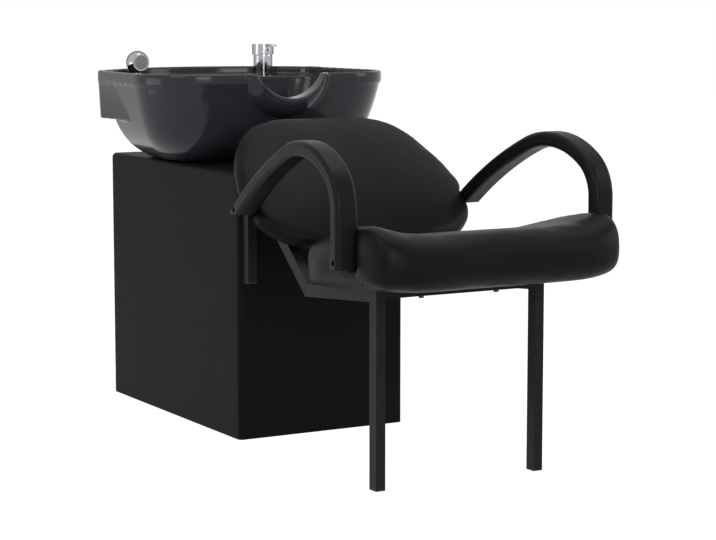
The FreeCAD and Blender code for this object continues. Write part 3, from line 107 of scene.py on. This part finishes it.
# Moulded skins: noise cells in a metre, and how far wear changes the roughness
SKIN_PATCHES = 12.0
SKIN_WEAR = 60.0
SKIN_SMOOTHER = 0.04
SKIN_ROUGHER = 0.05
SKIN_STRENGTH = 0.4

# Basin's gloss
GLOSS_COLOUR = (0.017, 0.017, 0.022)
GLOSS_DARK = (0.015, 0.015, 0.020)
GLOSS_LIGHT = (0.019, 0.019, 0.024)
GLOSS_ROUGHNESS = 0.15
GLOSS_SPECULAR = 0.18
GLOSS_PATCHES = 6.0
GLOSS_DUST = 45.0
GLOSS_DUST_FROM = 0.35
GLOSS_DUST_TO = 0.75
GLOSS_CLEAN = 0.12
GLOSS_DUSTY = 0.19
GLOSS_WAVES = 7.0
GLOSS_WAVE_DEPTH = 0.002
GLOSS_WAVE_STRENGTH = 0.05
GLOSS_EDGE = 0.005
GLOSS_EDGE_SAMPLES = 8

# Plated metal: water marks and waviness
PLATE_MARKS = 120.0
PLATE_MARKS_FROM = 0.4
PLATE_MARKS_TO = 0.75
PLATE_MARKS_DULL = 0.08
PLATE_WAVES = 30.0
PLATE_WAVE_DEPTH = 0.0004
PLATE_WAVE_STRENGTH = 0.06

# Raw board
BOARD_COLOUR = (0.5, 0.37, 0.24)
BOARD_DARK = (0.40, 0.28, 0.17)
BOARD_LIGHT = (0.56, 0.42, 0.28)
BOARD_ROUGHNESS = 0.7
BOARD_FIBRES = 40.0
BOARD_FIBRE_DEPTH = 0.0006
BOARD_STRENGTH = 0.4

# Finish of each solid
FINISHES = {
    "cabinet": ("cabinet_cover",),
    "board": ("cabinet_front", "cabinet_side_right", "cabinet_side_left", "cabinet_top", "cabinet_base",
              "cabinet_battens"),
    "panel": ("cabinet_back", "seat_board", "back_board"),
    "leather": ("back_rear_panel",),
    "tube": ("leg_right", "leg_left", "side_rail_right", "side_rail_left", "stay_right", "stay_left",
             "post_right", "post_left", "front_cross_rail", "rear_cross_rail", "upper_cross_rail",
             "back_plates", "arm_brackets"),
    "plastic": ("leg_caps", "post_caps", "mixer_plug", "drain_nut", "trap_bottle", "trap_outlet",
                "trap_nut", "tailpiece"),
    "arm": ("armrest_right", "armrest_left"),
    "steel": ("back_panel_screws", "post_bolts", "back_screws", "bowl_bolts", "mixer_pin"),
    "bolt": ("arm_bolts", "seat_screws"),
    "rubber": ("hose_grommet", "basin_mat", "drain_gasket"),
    "basin": ("basin",),
    "chrome": ("drain_flange", "hair_strainer", "mixer_ring", "mixer_body", "mixer_rotor", "mixer_lever",
               "sprayer_body", "spray_holder"),
    "spray": ("sprayer_face",),
    "brass": ("mixer_shank", "mixer_nut", "mixer_cartridge", "inlet_tails"),
}

# Points on each corner of a rounded loop, and steps along each of its sides
CORNER_POINTS = 9
SIDE_STEPS = 10

# Seat: profile at stations from the middle to the end, and its crown, rear fall and front belly
SEAT_STATIONS = (0.0, 0.40, 0.64, 0.80, 0.90, 0.96, 1.0)
SEAT_REAR = (0.015, 0.020, 0.040, 0.083, 0.122, 0.150, 0.182)
SEAT_FRONT = (0.445, 0.445, 0.443, 0.438, 0.430, 0.419, 0.396)
SEAT_LOW = (0.001, 0.001, 0.002, 0.005, 0.009, 0.013, 0.018)
SEAT_TOP = (0.093, 0.093, 0.097, 0.107, 0.115, 0.119, 0.118)
SEAT_CORNERS = (0.014, 0.028, 0.042, 0.026)
SEAT_CROWN = 0.007
SEAT_REAR_FALL = 0.034
SEAT_FALL_POWER = 1.6
SEAT_BELLY = 0.006
SEAT_STEPS = 40
SEAT_END_ROUND = 0.020
SEAT_END_STEPS = 8
SEAT_SWELL = 0.005
SEAT_DENT_SPREAD = 14

# Back: half widths up the slope, and the sizes of its edge, crown and seam
BACK_UP = (0.076, 0.088, 0.120, 0.170, 0.220, 0.300, 0.370, 0.420, 0.443)
BACK_HALF = (0.125, 0.180, 0.230, 0.256, 0.263, 0.244, 0.214, 0.174, 0.110)
BACK_FOOT_SAG = 0.002
BACK_HEAD_RISE = 0.003
BACK_OUTLINE_POINTS = 128
BACK_OUTLINE_ROUNDS = 5
BACK_REAR_INSETS = (0.20, 0.12, 0.05, 0.012)
BACK_REAR_EDGE = ((0.003, 0.003), (0.0, 0.010))
BACK_LEAST_SHARE = 0.02
BACK_EDGE = 0.036
BACK_ROLL = 0.022
BACK_ROLL_STEPS = 8
BACK_CROWN = 0.026
BACK_CROWN_SHARES = (0.06, 0.15, 0.28, 0.42, 0.56, 0.70, 0.84, 0.96)
BACK_SEAM = 0.008
BACK_SWELL = 0.002
BACK_DENT_SPREAD = 40

# Piping: its radius, how far its middle stands off the cover in radii, and its sides
CORD_RADIUS = 0.0018
CORD_PROUD = 0.3
CORD_SIDES = 8

# Padding: the cover inflates as cloth and is then smoothed
PAD_VOXEL = 0.006
PAD_FRAMES = 20
PAD_ROUNDS = 6
PAD_CLOTH = {
    "quality": 4,
    "mass": 0.3,
    "tension_stiffness": 25,
    "compression_stiffness": 25,
    "shear_stiffness": 15,
    "bending_stiffness": 4,
    "use_pressure": True,
    "uniform_pressure_force": 4.0,
}
LEAST_LENGTH = 1e-9

# Dents: room left round what presses in, and how deep the search for it goes
DENT_GAP = 0.001
DENT_REACH = 0.06

# Basin's mesh
BASIN_VOXEL = 0.0022
BASIN_ROUNDS = 12
BASIN_KEPT = 0.35


def camera():
    data = bpy.data.cameras.new("camera")
    data.lens = CAMERA_LENS
    data.sensor_width = CAMERA_SENSOR
    obj = bpy.data.objects.new("camera", data)
    bpy.context.collection.objects.link(obj)
    level = math.cos(CAMERA_PITCH)
    across = math.sin(CAMERA_HEADING) * level
    ahead = math.cos(CAMERA_HEADING) * level
    aim = Vector((across, ahead, -math.sin(CAMERA_PITCH)))
    obj.location = CAMERA_PLACE
    obj.rotation_mode = "QUATERNION"
    obj.rotation_quaternion = aim.to_track_quat("-Z", "Y")
    bpy.context.scene.camera = obj


def ray_share(tree, *kinds):
    """One for rays of the given kinds, otherwise nothing."""
    path = tree.nodes.new("ShaderNodeLightPath")
    share = path.outputs[kinds[0]]
    for kind in kinds[1:]:
        either = tree.nodes.new("ShaderNodeMath")
        either.operation = "MAXIMUM"
        tree.links.new(share, either.inputs[0])
        tree.links.new(path.outputs[kind], either.inputs[1])
        share = either.outputs[0]
    return share


def background(tree, strength):
    node = tree.nodes.new("ShaderNodeBackground")
    node.inputs["Color"].default_value = (1, 1, 1, 1)
    node.inputs["Strength"].default_value = strength
    return node.outputs[0]


def blend(tree, share, first, second):
    mix = tree.nodes.new("ShaderNodeMixShader")
    tree.links.new(share, mix.inputs[0])
    tree.links.new(first, mix.inputs[1])
    tree.links.new(second, mix.inputs[2])
    return mix.outputs[0]


def world():
    """White room: even soft light, and plain white behind the chair and in what its surfaces mirror."""
    made = bpy.data.worlds.new("studio")
    bpy.context.scene.world = made
    made.use_nodes = True
    tree = made.node_tree
    tree.nodes.clear()
    out = tree.nodes.new("ShaderNodeOutputWorld")
    share = ray_share(tree, *SHOWING_RAYS)
    shown = blend(tree, share, background(tree, ROOM_LIGHT), background(tree, SHOWN_WHITE))
    tree.links.new(shown, out.inputs["Surface"])


def area_light(name, place, target, width, height, watts):
    data = bpy.data.lights.new(name, "AREA")
    data.shape = "RECTANGLE"
    data.size = width
    data.size_y = height
    data.energy = watts
    obj = bpy.data.objects.new(name, data)
    bpy.context.collection.objects.link(obj)
    obj.location = place
    obj.rotation_mode = "QUATERNION"
    obj.rotation_quaternion = (Vector(target) - Vector(place)).to_track_quat("-Z", "Y")
    obj.visible_camera = False


def lights():
    for name, lamp in LAMPS.items():
        area_light(name, *lamp)


def floor_material():
    """Pale floor that glows for the rays that show the background, and still takes the chair's shadow."""
    made = bpy.data.materials.new("floor")
    made.use_nodes = True
    tree = made.node_tree
    tree.nodes.clear()
    matte = tree.nodes.new("ShaderNodeBsdfDiffuse")
    matte.inputs["Color"].default_value = FLOOR_SHADE
    pale = tree.nodes.new("ShaderNodeEmission")
    pale.inputs["Strength"].default_value = FLOOR_GLOW
    share = tree.nodes.new("ShaderNodeMath")
    share.operation = "MULTIPLY"
    share.inputs[1].default_value = FLOOR_GLOW_SHARE
    tree.links.new(ray_share(tree, *SHOWING_RAYS), share.inputs[0])
    out = tree.nodes.new("ShaderNodeOutputMaterial")
    mixed = blend(tree, share.outputs[0], matte.outputs[0], pale.outputs[0])
    tree.links.new(mixed, out.inputs["Surface"])
    return made


def floor():
    half = FLOOR_HALF
    corners = [(-half, -half, 0), (half, -half, 0), (half, half, 0), (-half, half, 0)]
    mesh = bpy.data.meshes.new("floor")
    mesh.from_pydata(corners, [], [(0, 1, 2, 3)])
    obj = bpy.data.objects.new("floor", mesh)
    bpy.context.collection.objects.link(obj)
    obj.location.z = -FLOOR_DROP
    mesh.materials.append(floor_material())


def material(name, colour, roughness, metallic=0.0, specular=0.5):
    """Principled material; returns it with its tree and shader for the detail that follows."""
    made = bpy.data.materials.new(name)
    made.use_nodes = True
    tree = made.node_tree
    shader = tree.nodes["Principled BSDF"]
    shader.inputs["Base Color"].default_value = (*colour, 1)
    shader.inputs["Roughness"].default_value = roughness
    shader.inputs["Metallic"].default_value = metallic
    shader.inputs["Specular IOR Level"].default_value = specular
    return made, tree, shader


def texture(tree, kind, scale, **settings):
    """Texture in the object's own coordinates; the scale counts cells in a metre."""
    coordinates = tree.nodes.new("ShaderNodeTexCoord")
    node = tree.nodes.new(kind)
    node.inputs["Scale"].default_value = scale
    for name, value in settings.items():
        node.inputs[name].default_value = value
    tree.links.new(coordinates.outputs["Object"], node.inputs["Vector"])
    return node


def noise(tree, scale, detail):
    return texture(tree, "ShaderNodeTexNoise", scale, Detail=detail).outputs[0]


def remap(tree, value, low, high, to_low, to_high):
    node = tree.nodes.new("ShaderNodeMapRange")
    for index, number in enumerate((low, high, to_low, to_high), 1):
        node.inputs[index].default_value = number
    tree.links.new(value, node.inputs[0])
    return node.outputs[0]


def tint(tree, shader, value, dark, light):
    """Base colour that varies between two shades with a value."""
    ramp = tree.nodes.new("ShaderNodeValToRGB")
    ramp.color_ramp.elements[0].color = (*dark, 1)
    ramp.color_ramp.elements[1].color = (*light, 1)
    ramp.color_ramp.elements[0].position = SHADE_FROM
    ramp.color_ramp.elements[1].position = SHADE_TO
    tree.links.new(value, ramp.inputs[0])
    tree.links.new(ramp.outputs[0], shader.inputs["Base Color"])


def bump(tree, shader, height, distance, strength, before=None):
    """Relief from a height, over another surface direction if one is given."""
    node = tree.nodes.new("ShaderNodeBump")
    node.inputs["Distance"].default_value = distance
    node.inputs["Strength"].default_value = strength
    tree.links.new(height, node.inputs["Height"])
    if before is not None:
        tree.links.new(before, node.inputs["Normal"])
    tree.links.new(node.outputs[0], shader.inputs["Normal"])
    return node.outputs[0]


def leatherette(name, dark, light, roughness, specular, grain, slack, wear_spread):
    """Artificial leather: pebbled grain, slow shade changes and a little sheen."""
    made, tree, shader = material(name, light, roughness, specular=specular)
    tint(tree, shader, noise(tree, LEATHER_PATCHES, 4.0), dark, light)
    wear = noise(tree, LEATHER_WEAR, 5.0)
    worn = remap(tree, wear, WEAR_FROM, WEAR_TO, roughness - wear_spread, roughness + wear_spread)
    tree.links.new(worn, shader.inputs["Roughness"])
    pebbles = texture(tree, "ShaderNodeTexVoronoi", grain)
    soft = bump(tree, shader, noise(tree, LEATHER_SLACK, 2.0), LEATHER_SLACK_DEPTH, slack)
    bump(tree, shader, pebbles.outputs["Distance"], PEBBLE_DEPTH, PEBBLE_STRENGTH, soft)
    return made


def moulded(name, dark, light, roughness, specular, grain, depth):
    """Moulded plastic, foam skin or powder coat with a fine even texture."""
    made, tree, shader = material(name, light, roughness, specular=specular)
    tint(tree, shader, noise(tree, SKIN_PATCHES, 3.0), dark, light)
    wear = noise(tree, SKIN_WEAR, 4.0)
    worn = remap(tree, wear, WEAR_FROM, WEAR_TO, roughness - SKIN_SMOOTHER, roughness + SKIN_ROUGHER)
    tree.links.new(worn, shader.inputs["Roughness"])
    bump(tree, shader, noise(tree, grain, 3.0), depth, SKIN_STRENGTH)
    return made


def eased_edges(tree, radius):
    """Surface direction that rounds off sharp edges."""
    node = tree.nodes.new("ShaderNodeBevel")
    node.samples = GLOSS_EDGE_SAMPLES
    node.inputs["Radius"].default_value = radius
    return node.outputs[0]


def glossy_moulding():
    """Polished black basin: a soft hard-plastic gloss with the faint waviness of a moulding."""
    made, tree, shader = material("basin_gloss", GLOSS_COLOUR, GLOSS_ROUGHNESS, specular=GLOSS_SPECULAR)
    tint(tree, shader, noise(tree, GLOSS_PATCHES, 2.0), GLOSS_DARK, GLOSS_LIGHT)
    dust = noise(tree, GLOSS_DUST, 6.0)
    dulled = remap(tree, dust, GLOSS_DUST_FROM, GLOSS_DUST_TO, GLOSS_CLEAN, GLOSS_DUSTY)
    tree.links.new(dulled, shader.inputs["Roughness"])
    waves = noise(tree, GLOSS_WAVES, 1.0)
    bump(tree, shader, waves, GLOSS_WAVE_DEPTH, GLOSS_WAVE_STRENGTH, eased_edges(tree, GLOSS_EDGE))
    return made


def plated(name, colour, roughness, painted_rim_shade=(1.0, 1.0, 1.0)):
    """Plated metal with faint water marks; the rim colour tints its reflection where it turns away, and a
    dark rim is painted shade on the reflection at its edges.
    """
    made, tree, shader = material(name, colour, roughness, metallic=1.0)
    shader.inputs["Specular Tint"].default_value = (*painted_rim_shade, 1)
    marks = noise(tree, PLATE_MARKS, 5.0)
    dulled = remap(tree, marks, PLATE_MARKS_FROM, PLATE_MARKS_TO, roughness, roughness + PLATE_MARKS_DULL)
    tree.links.new(dulled, shader.inputs["Roughness"])
    bump(tree, shader, noise(tree, PLATE_WAVES, 1.0), PLATE_WAVE_DEPTH, PLATE_WAVE_STRENGTH)
    return made


def wooden():
    """Raw panel board with uneven fibres."""
    made, tree, shader = material("panel_board", BOARD_COLOUR, BOARD_ROUGHNESS)
    fibres = noise(tree, BOARD_FIBRES, 8.0)
    tint(tree, shader, fibres, BOARD_DARK, BOARD_LIGHT)
    bump(tree, shader, fibres, BOARD_FIBRE_DEPTH, BOARD_STRENGTH)
    return made


def grey(value):
    return (value, value, value)


def make_looks():
    """Every finish by its short name."""
    return {
        "cabinet": leatherette("cabinet_cover", grey(0.0036), grey(0.0042), roughness=0.50, specular=0.04,
                               grain=900.0, slack=0.01, wear_spread=0.015),
        "leather": leatherette("leatherette", grey(0.0032), grey(0.0042), roughness=0.40, specular=0.055,
                               grain=800.0, slack=0.10, wear_spread=0.04),
        "arm": moulded("arm_skin", grey(0.0034), grey(0.0044), roughness=0.40, specular=0.08,
                       grain=500.0, depth=0.00003),
        "tube": moulded("powder_coat", grey(0.0050), grey(0.0065), roughness=0.42, specular=0.10,
                        grain=1400.0, depth=0.0002),
        "plastic": moulded("dark_plastic", grey(0.006), grey(0.009), roughness=0.55, specular=0.2,
                           grain=600.0, depth=0.0002),
        "panel": moulded("back_sheet", grey(0.006), grey(0.009), roughness=0.6, specular=0.15,
                         grain=400.0, depth=0.0003),
        "spray": plated("spray_plate", (0.22, 0.22, 0.23), roughness=0.3),
        "rubber": moulded("rubber", grey(0.014), grey(0.022), roughness=0.75, specular=0.3,
                          grain=500.0, depth=0.0003),
        "basin": glossy_moulding(),
        # Chrome's dark rim is painted shade: it darkens the reflection along its edges.
        "chrome": plated("chrome", (0.40, 0.40, 0.42), roughness=0.05, painted_rim_shade=(0.10, 0.10, 0.11)),
        "steel": plated("zinc_steel", (0.55, 0.55, 0.56), roughness=0.3),
        "bolt": plated("black_bolt", grey(0.05), roughness=0.4),
        "brass": plated("brass", (0.72, 0.53, 0.25), roughness=0.25),
        "board": wooden(),
    }


def finish_nodes(looks):
    """Gives every solid its own finish."""
    for look, names in FINISHES.items():
        for name in names:
            slots = nodes[name].data.materials
            slots.clear()
            slots.append(looks[look])


def new_object(name, points, faces, look):
    """Smooth-shaded object from points and faces."""
    mesh = bpy.data.meshes.new(name)
    mesh.from_pydata([tuple(p) for p in points], [], faces)
    mesh.validate()
    mesh.materials.append(look)
    obj = bpy.data.objects.new(name, mesh)
    bpy.context.collection.objects.link(obj)
    mesh.polygons.foreach_set("use_smooth", [True] * len(mesh.polygons))
    return obj


def ring_faces(rings, count):
    """Quads between rings of the same number of points, with one face over each end."""
    faces = []
    for r in range(rings - 1):
        for k in range(count):
            a = r * count + k
            b = r * count + (k + 1) % count
            faces.append((a, b, b + count, a + count))
    faces.append(tuple(range(count - 1, -1, -1)))
    faces.append(tuple(range((rings - 1) * count, rings * count)))
    return faces


def corner_arcs(low, high, radii):
    """Points of the four rounded corners of a rectangle, each with its own radius."""
    (x0, y0), (x1, y1) = low, high
    corners = [(x0, y0, 1, 1, math.pi), (x1, y0, -1, 1, 1.5 * math.pi), (x1, y1, -1, -1, 0.0),
               (x0, y1, 1, -1, QUARTER)]
    arcs = []
    for (x, y, sx, sy, start), radius in zip(corners, radii):
        cx = x + sx * radius
        cy = y + sy * radius
        turn = [start + QUARTER * k / (CORNER_POINTS - 1) for k in range(CORNER_POINTS)]
        arcs.append([(cx + radius * math.cos(a), cy + radius * math.sin(a)) for a in turn])
    return arcs


def rounded_loop(low, high, radii):
    """Points of a rectangle with rounded corners and evenly stepped sides."""
    arcs = corner_arcs(low, high, radii)
    points = []
    for i, arc in enumerate(arcs):
        points += arc
        x, y = arc[-1]
        next_x, next_y = arcs[(i + 1) % len(arcs)][0]
        for k in range(1, SIDE_STEPS):
            share = k / SIDE_STEPS
            points.append((x + (next_x - x) * share, y + (next_y - y) * share))
    return points


def seat_to_world():
    """Seat directions (across, along, above) to the row frame."""
    place = Matrix.Translation((0, FACE_Y - RAIL_REACH, RAIL_TOP))
    return place @ Matrix.Rotation(-SEAT_TILT, 4, "X") @ Matrix.Diagonal((1, -1, 1, 1))


def back_to_world():
    """Back directions (across, up the slope, out of it) to the row frame."""
    return Matrix.Translation((0, FACE_Y - RAIL_REACH, RAIL_HEIGHT)) @ Matrix.Rotation(BACK_LEAN, 4, "X")


def smooth_curve(places, values, at):
    """Value at a given place on a smooth curve that keeps the order of its points."""
    x = np.array(places, float)
    y = np.array(values, float)
    slope = np.diff(y) / np.diff(x)
    tangent = np.zeros(len(x))
    for i in range(1, len(x) - 1):
        if slope[i - 1] * slope[i] > 0:
            tangent[i] = 2 * slope[i - 1] * slope[i] / (slope[i - 1] + slope[i])
    tangent[-1] = slope[-1]
    # Cubic between the points on either side
    i = np.clip(np.searchsorted(x, at, side="right") - 1, 0, len(x) - 2)
    h = x[i + 1] - x[i]
    t = (at - x[i]) / h
    return ((2 * t**3 - 3 * t**2 + 1) * y[i] + (t**3 - 2 * t**2 + t) * h * tangent[i]
            + (3 * t**2 - 2 * t**3) * y[i + 1] + (t**3 - t**2) * h * tangent[i + 1])


def seat_section(x, inset):
    """Side profile of the seat at one place across, drawn in where the end is rounded."""
    t = min(abs(x) / SEAT_HALF, 1.0)
    rear = float(smooth_curve(SEAT_STATIONS, SEAT_REAR, t)) + inset
    front = float(smooth_curve(SEAT_STATIONS, SEAT_FRONT, t)) - inset
    low = float(smooth_curve(SEAT_STATIONS, SEAT_LOW, t)) + inset
    top = float(smooth_curve(SEAT_STATIONS, SEAT_TOP, t)) - inset
    crowned = []
    for u, v in rounded_loop((rear, low), (front, top), SEAT_CORNERS):
        share = (u - rear) / (front - rear)
        rise = (v - low) / (top - low)
        fall = SEAT_REAR_FALL * (1 - share) ** SEAT_FALL_POWER
        lift = (SEAT_CROWN * math.sin(math.pi * share) - fall) * rise
        belly = SEAT_BELLY * math.sin(math.pi * rise) * max(0.0, 2 * share - 1)
        crowned.append((x, u + belly, v + lift))
    return crowned


def apply_modifiers(obj):
    graph = bpy.context.evaluated_depsgraph_get()
    made = bpy.data.meshes.new_from_object(obj.evaluated_get(graph))
    obj.modifiers.clear()
    obj.data = made
    obj.data.polygons.foreach_set("use_smooth", [True] * len(made.polygons))


def remesh(obj, voxel):
    """Rebuilds a closed form with even faces of about the voxel's size."""
    even = obj.modifiers.new("remesh", "REMESH")
    even.mode = "VOXEL"
    even.voxel_size = voxel
    apply_modifiers(obj)


def soften(obj, rounds):
    """Rounds off edges and creases."""
    smooth = obj.modifiers.new("smooth", "CORRECTIVE_SMOOTH")
    smooth.iterations = rounds
    smooth.use_only_smooth = True
    apply_modifiers(obj)


def subdivide(obj):
    finer = obj.modifiers.new("subdivision", "SUBSURF")
    finer.levels = 1
    finer.render_levels = 1


def places_of(mesh):
    places = np.empty(len(mesh.vertices) * 3)
    mesh.vertices.foreach_get("co", places)
    return places.reshape(-1, 3)


def inflated(obj):
    """Places of a closed form's points once it has been blown up as cloth."""
    cloth = obj.modifiers.new("cloth", "CLOTH")
    for name, value in PAD_CLOTH.items():
        setattr(cloth.settings, name, value)
    cloth.settings.effector_weights.gravity = 0
    cloth.collision_settings.use_collision = False
    scene = bpy.context.scene
    for number in range(1, PAD_FRAMES + 1):
        scene.frame_set(number)
    posed = obj.evaluated_get(bpy.context.evaluated_depsgraph_get())
    places = places_of(posed.to_mesh())
    posed.to_mesh_clear()
    obj.modifiers.clear()
    scene.frame_set(1)
    return places


def swell(obj, cap):
    """Pads a closed form: inflates it as cloth, and keeps every point within a distance of its start."""
    remesh(obj, PAD_VOXEL)
    start = places_of(obj.data)
    move = inflated(obj) - start
    length = np.linalg.norm(move, axis=1, keepdims=True)
    move *= np.minimum(1.0, cap / np.maximum(length, LEAST_LENGTH))
    obj.data.vertices.foreach_set("co", (start + move).ravel())
    obj.data.update()


def needed_push(obj, solid):
    """How far each point has to move towards the middle to clear a solid by the gap."""
    tree = BVHTree.FromObject(solid, bpy.context.evaluated_depsgraph_get())
    push = np.zeros(len(obj.data.vertices))
    for k, vertex in enumerate(obj.data.vertices):
        inward = Vector((-math.copysign(1.0, vertex.co.x), 0, 0))
        place, normal, _, reach = tree.ray_cast(vertex.co - inward * DENT_GAP, inward, DENT_REACH)
        if place is not None and normal.dot(inward) > 0:
            push[k] = reach + DENT_GAP
    return push


def dent(obj, spread):
    """Presses a cushion in where the arms bear on its sides, with a soft edge to each dent."""
    ends = np.empty(len(obj.data.edges) * 2, int)
    obj.data.edges.foreach_get("vertices", ends)
    ends = ends.reshape(-1, 2)
    arms = [nodes[name] for name in FINISHES["arm"]]
    least = np.maximum.reduce([needed_push(obj, arm) for arm in arms])
    push = least.copy()
    count = np.bincount(ends.ravel(), minlength=len(push))
    for _ in range(spread):
        total = np.bincount(ends[:, 0], push[ends[:, 1]], len(push))
        total += np.bincount(ends[:, 1], push[ends[:, 0]], len(push))
        push = np.maximum(least, 0.5 * push + 0.5 * total / np.maximum(count, 1))
    places = places_of(obj.data)
    places[:, 0] -= np.sign(places[:, 0]) * push
    obj.data.vertices.foreach_set("co", places.ravel())
    obj.data.update()


def seat_stations():
    """Places across one half of the seat, with how far the profile is drawn in at each."""
    straight = SEAT_HALF - SEAT_END_ROUND
    stations = [(straight * math.sin(QUARTER * k / SEAT_STEPS), 0.0) for k in range(SEAT_STEPS + 1)]
    for k in range(1, SEAT_END_STEPS + 1):
        angle = QUARTER * k / SEAT_END_STEPS
        inset = SEAT_END_ROUND * (1 - math.cos(angle))
        stations.append((straight + SEAT_END_ROUND * math.sin(angle), inset))
    return stations


def seat(looks):
    """Seat cushion with a dished middle, raised wings and rounded ends."""
    half = [seat_section(x, inset) for x, inset in seat_stations()]
    other = [[(-x, u, v) for x, u, v in loop] for loop in reversed(half[1:])]
    rings = other + half
    points = [p for loop in rings for p in loop]
    obj = new_object("seat_cushion_cover", points, ring_faces(len(rings), len(half[0])), looks["leather"])
    obj.data.transform(seat_to_world())
    swell(obj, SEAT_SWELL)
    soften(obj, PAD_ROUNDS)
    subdivide(obj)
    dent(obj, SEAT_DENT_SPREAD)
    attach(obj, "chair")
    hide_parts("seat_cushion")


def basin():
    """Basin with the rounded edges and soft creases of a moulding."""
    obj = bpy.data.objects.new("basin_moulding", nodes["basin"].data.copy())
    bpy.context.collection.objects.link(obj)
    obj.matrix_world = nodes["basin"].matrix_world
    remesh(obj, BASIN_VOXEL)
    soften(obj, BASIN_ROUNDS)
    lighter = obj.modifiers.new("decimate", "DECIMATE")
    lighter.ratio = BASIN_KEPT
    apply_modifiers(obj)
    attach(obj, "chair")
    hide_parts("basin")


def piping(name, obj, starts, outward, look):
    """Round cord that lies on a cushion's cover, found from points outside it."""
    tree = BVHTree.FromObject(obj, bpy.context.evaluated_depsgraph_get())
    line = []
    for start, out in zip(starts, outward):
        place = tree.ray_cast(start, -out)[0]
        line.append(place + out * CORD_RADIUS * CORD_PROUD)
    turns = [2 * math.pi * j / CORD_SIDES for j in range(CORD_SIDES)]
    points = []
    for k, (place, out) in enumerate(zip(line, outward)):
        along = (line[(k + 1) % len(line)] - line[k - 1]).normalized()
        side = along.cross(out).normalized()
        over = side.cross(along)
        points += [place + CORD_RADIUS * (math.cos(a) * over + math.sin(a) * side) for a in turns]
    faces = []
    for k in range(len(line)):
        here = k * CORD_SIDES
        after = (k + 1) % len(line) * CORD_SIDES
        for j in range(CORD_SIDES):
            beside = (j + 1) % CORD_SIDES
            faces.append((here + j, here + beside, after + beside, after + j))
    cord = new_object(name, points, faces, look)
    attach(cord, "chair")


def back_outline():
    """Closed outline of the backrest across and up the slope."""
    right = list(zip(BACK_HALF, BACK_UP))
    corners = [(0.0, BACK_UP[0] - BACK_FOOT_SAG)] + right + [(0.0, BACK_UP[-1] + BACK_HEAD_RISE)]
    corners += [(-x, a) for x, a in reversed(right)]
    curve = np.array(corners + corners[:1])
    steps = np.r_[0, np.cumsum(np.linalg.norm(np.diff(curve, axis=0), axis=1))]
    even = np.linspace(0, steps[-1], BACK_OUTLINE_POINTS, endpoint=False)
    outline = np.stack([np.interp(even, steps, curve[:, i]) for i in range(2)], axis=1)
    for _ in range(BACK_OUTLINE_ROUNDS):
        outline = 0.5 * outline + 0.25 * (np.roll(outline, 1, axis=0) + np.roll(outline, -1, axis=0))
    return outline


def level_ring(shape, rise):
    return np.c_[shape, np.full(len(shape), rise)]


def back_rings(centre, spread, size):
    """Rings of the backrest from its flat rear face over the rolled edge to the crown."""
    unit = spread / size
    top = BACK_BASE + BACK_EDGE
    edge = [(inset, BACK_BASE) for inset in BACK_REAR_INSETS]
    edge += [(inset, BACK_BASE + rise) for inset, rise in BACK_REAR_EDGE]
    for k in range(BACK_ROLL_STEPS + 1):
        angle = QUARTER * k / BACK_ROLL_STEPS
        edge.append((BACK_ROLL * (1 - math.cos(angle)), top - BACK_ROLL * (1 - math.sin(angle))))
    rings = []
    for inset, rise in edge:
        shape = centre + unit * np.maximum(size - inset, size * BACK_LEAST_SHARE)
        rings.append(level_ring(shape, rise))
    for share in BACK_CROWN_SHARES:
        shape = centre + spread * (1 - share) * (1 - BACK_ROLL / size)
        rings.append(level_ring(shape, top + BACK_CROWN * (1 - (1 - share) ** 2)))
    return rings


def back_piping(obj, centre, spread, size, look):
    """Piping along the seam at the backrest's rear edge."""
    unit = spread / size
    place = back_to_world()
    turn = place.to_3x3()
    outward = [turn @ Vector((*side, 0)) for side in unit]
    starts = []
    for side, length in zip(unit, size[:, 0]):
        outside = centre + side * (length + BACK_ROLL)
        starts.append(place @ Vector((*outside, BACK_BASE + BACK_SEAM)))
    piping("back_piping", obj, starts, outward, look)


def back(looks):
    """Backrest cushion: a crowned pad with a full rolled edge and a flat rear face."""
    outline = back_outline()
    centre = np.array([0.0, 0.5 * (BACK_UP[0] + BACK_UP[-1])])
    spread = outline - centre
    size = np.linalg.norm(spread, axis=1, keepdims=True)
    rings = back_rings(centre, spread, size)
    faces = ring_faces(len(rings), len(outline))
    obj = new_object("back_cushion_cover", np.concatenate(rings), faces, looks["leather"])
    obj.data.transform(back_to_world())
    swell(obj, BACK_SWELL)
    soften(obj, PAD_ROUNDS)
    subdivide(obj)
    dent(obj, BACK_DENT_SPREAD)
    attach(obj, "chair")
    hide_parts("back_cushion")
    back_piping(obj, centre, spread, size, looks["leather"])


bpy.context.scene.view_settings.view_transform = "Standard"
camera()
world()
lights()
floor()
looks = make_looks()
finish_nodes(looks)
seat(looks)
back(looks)
basin()
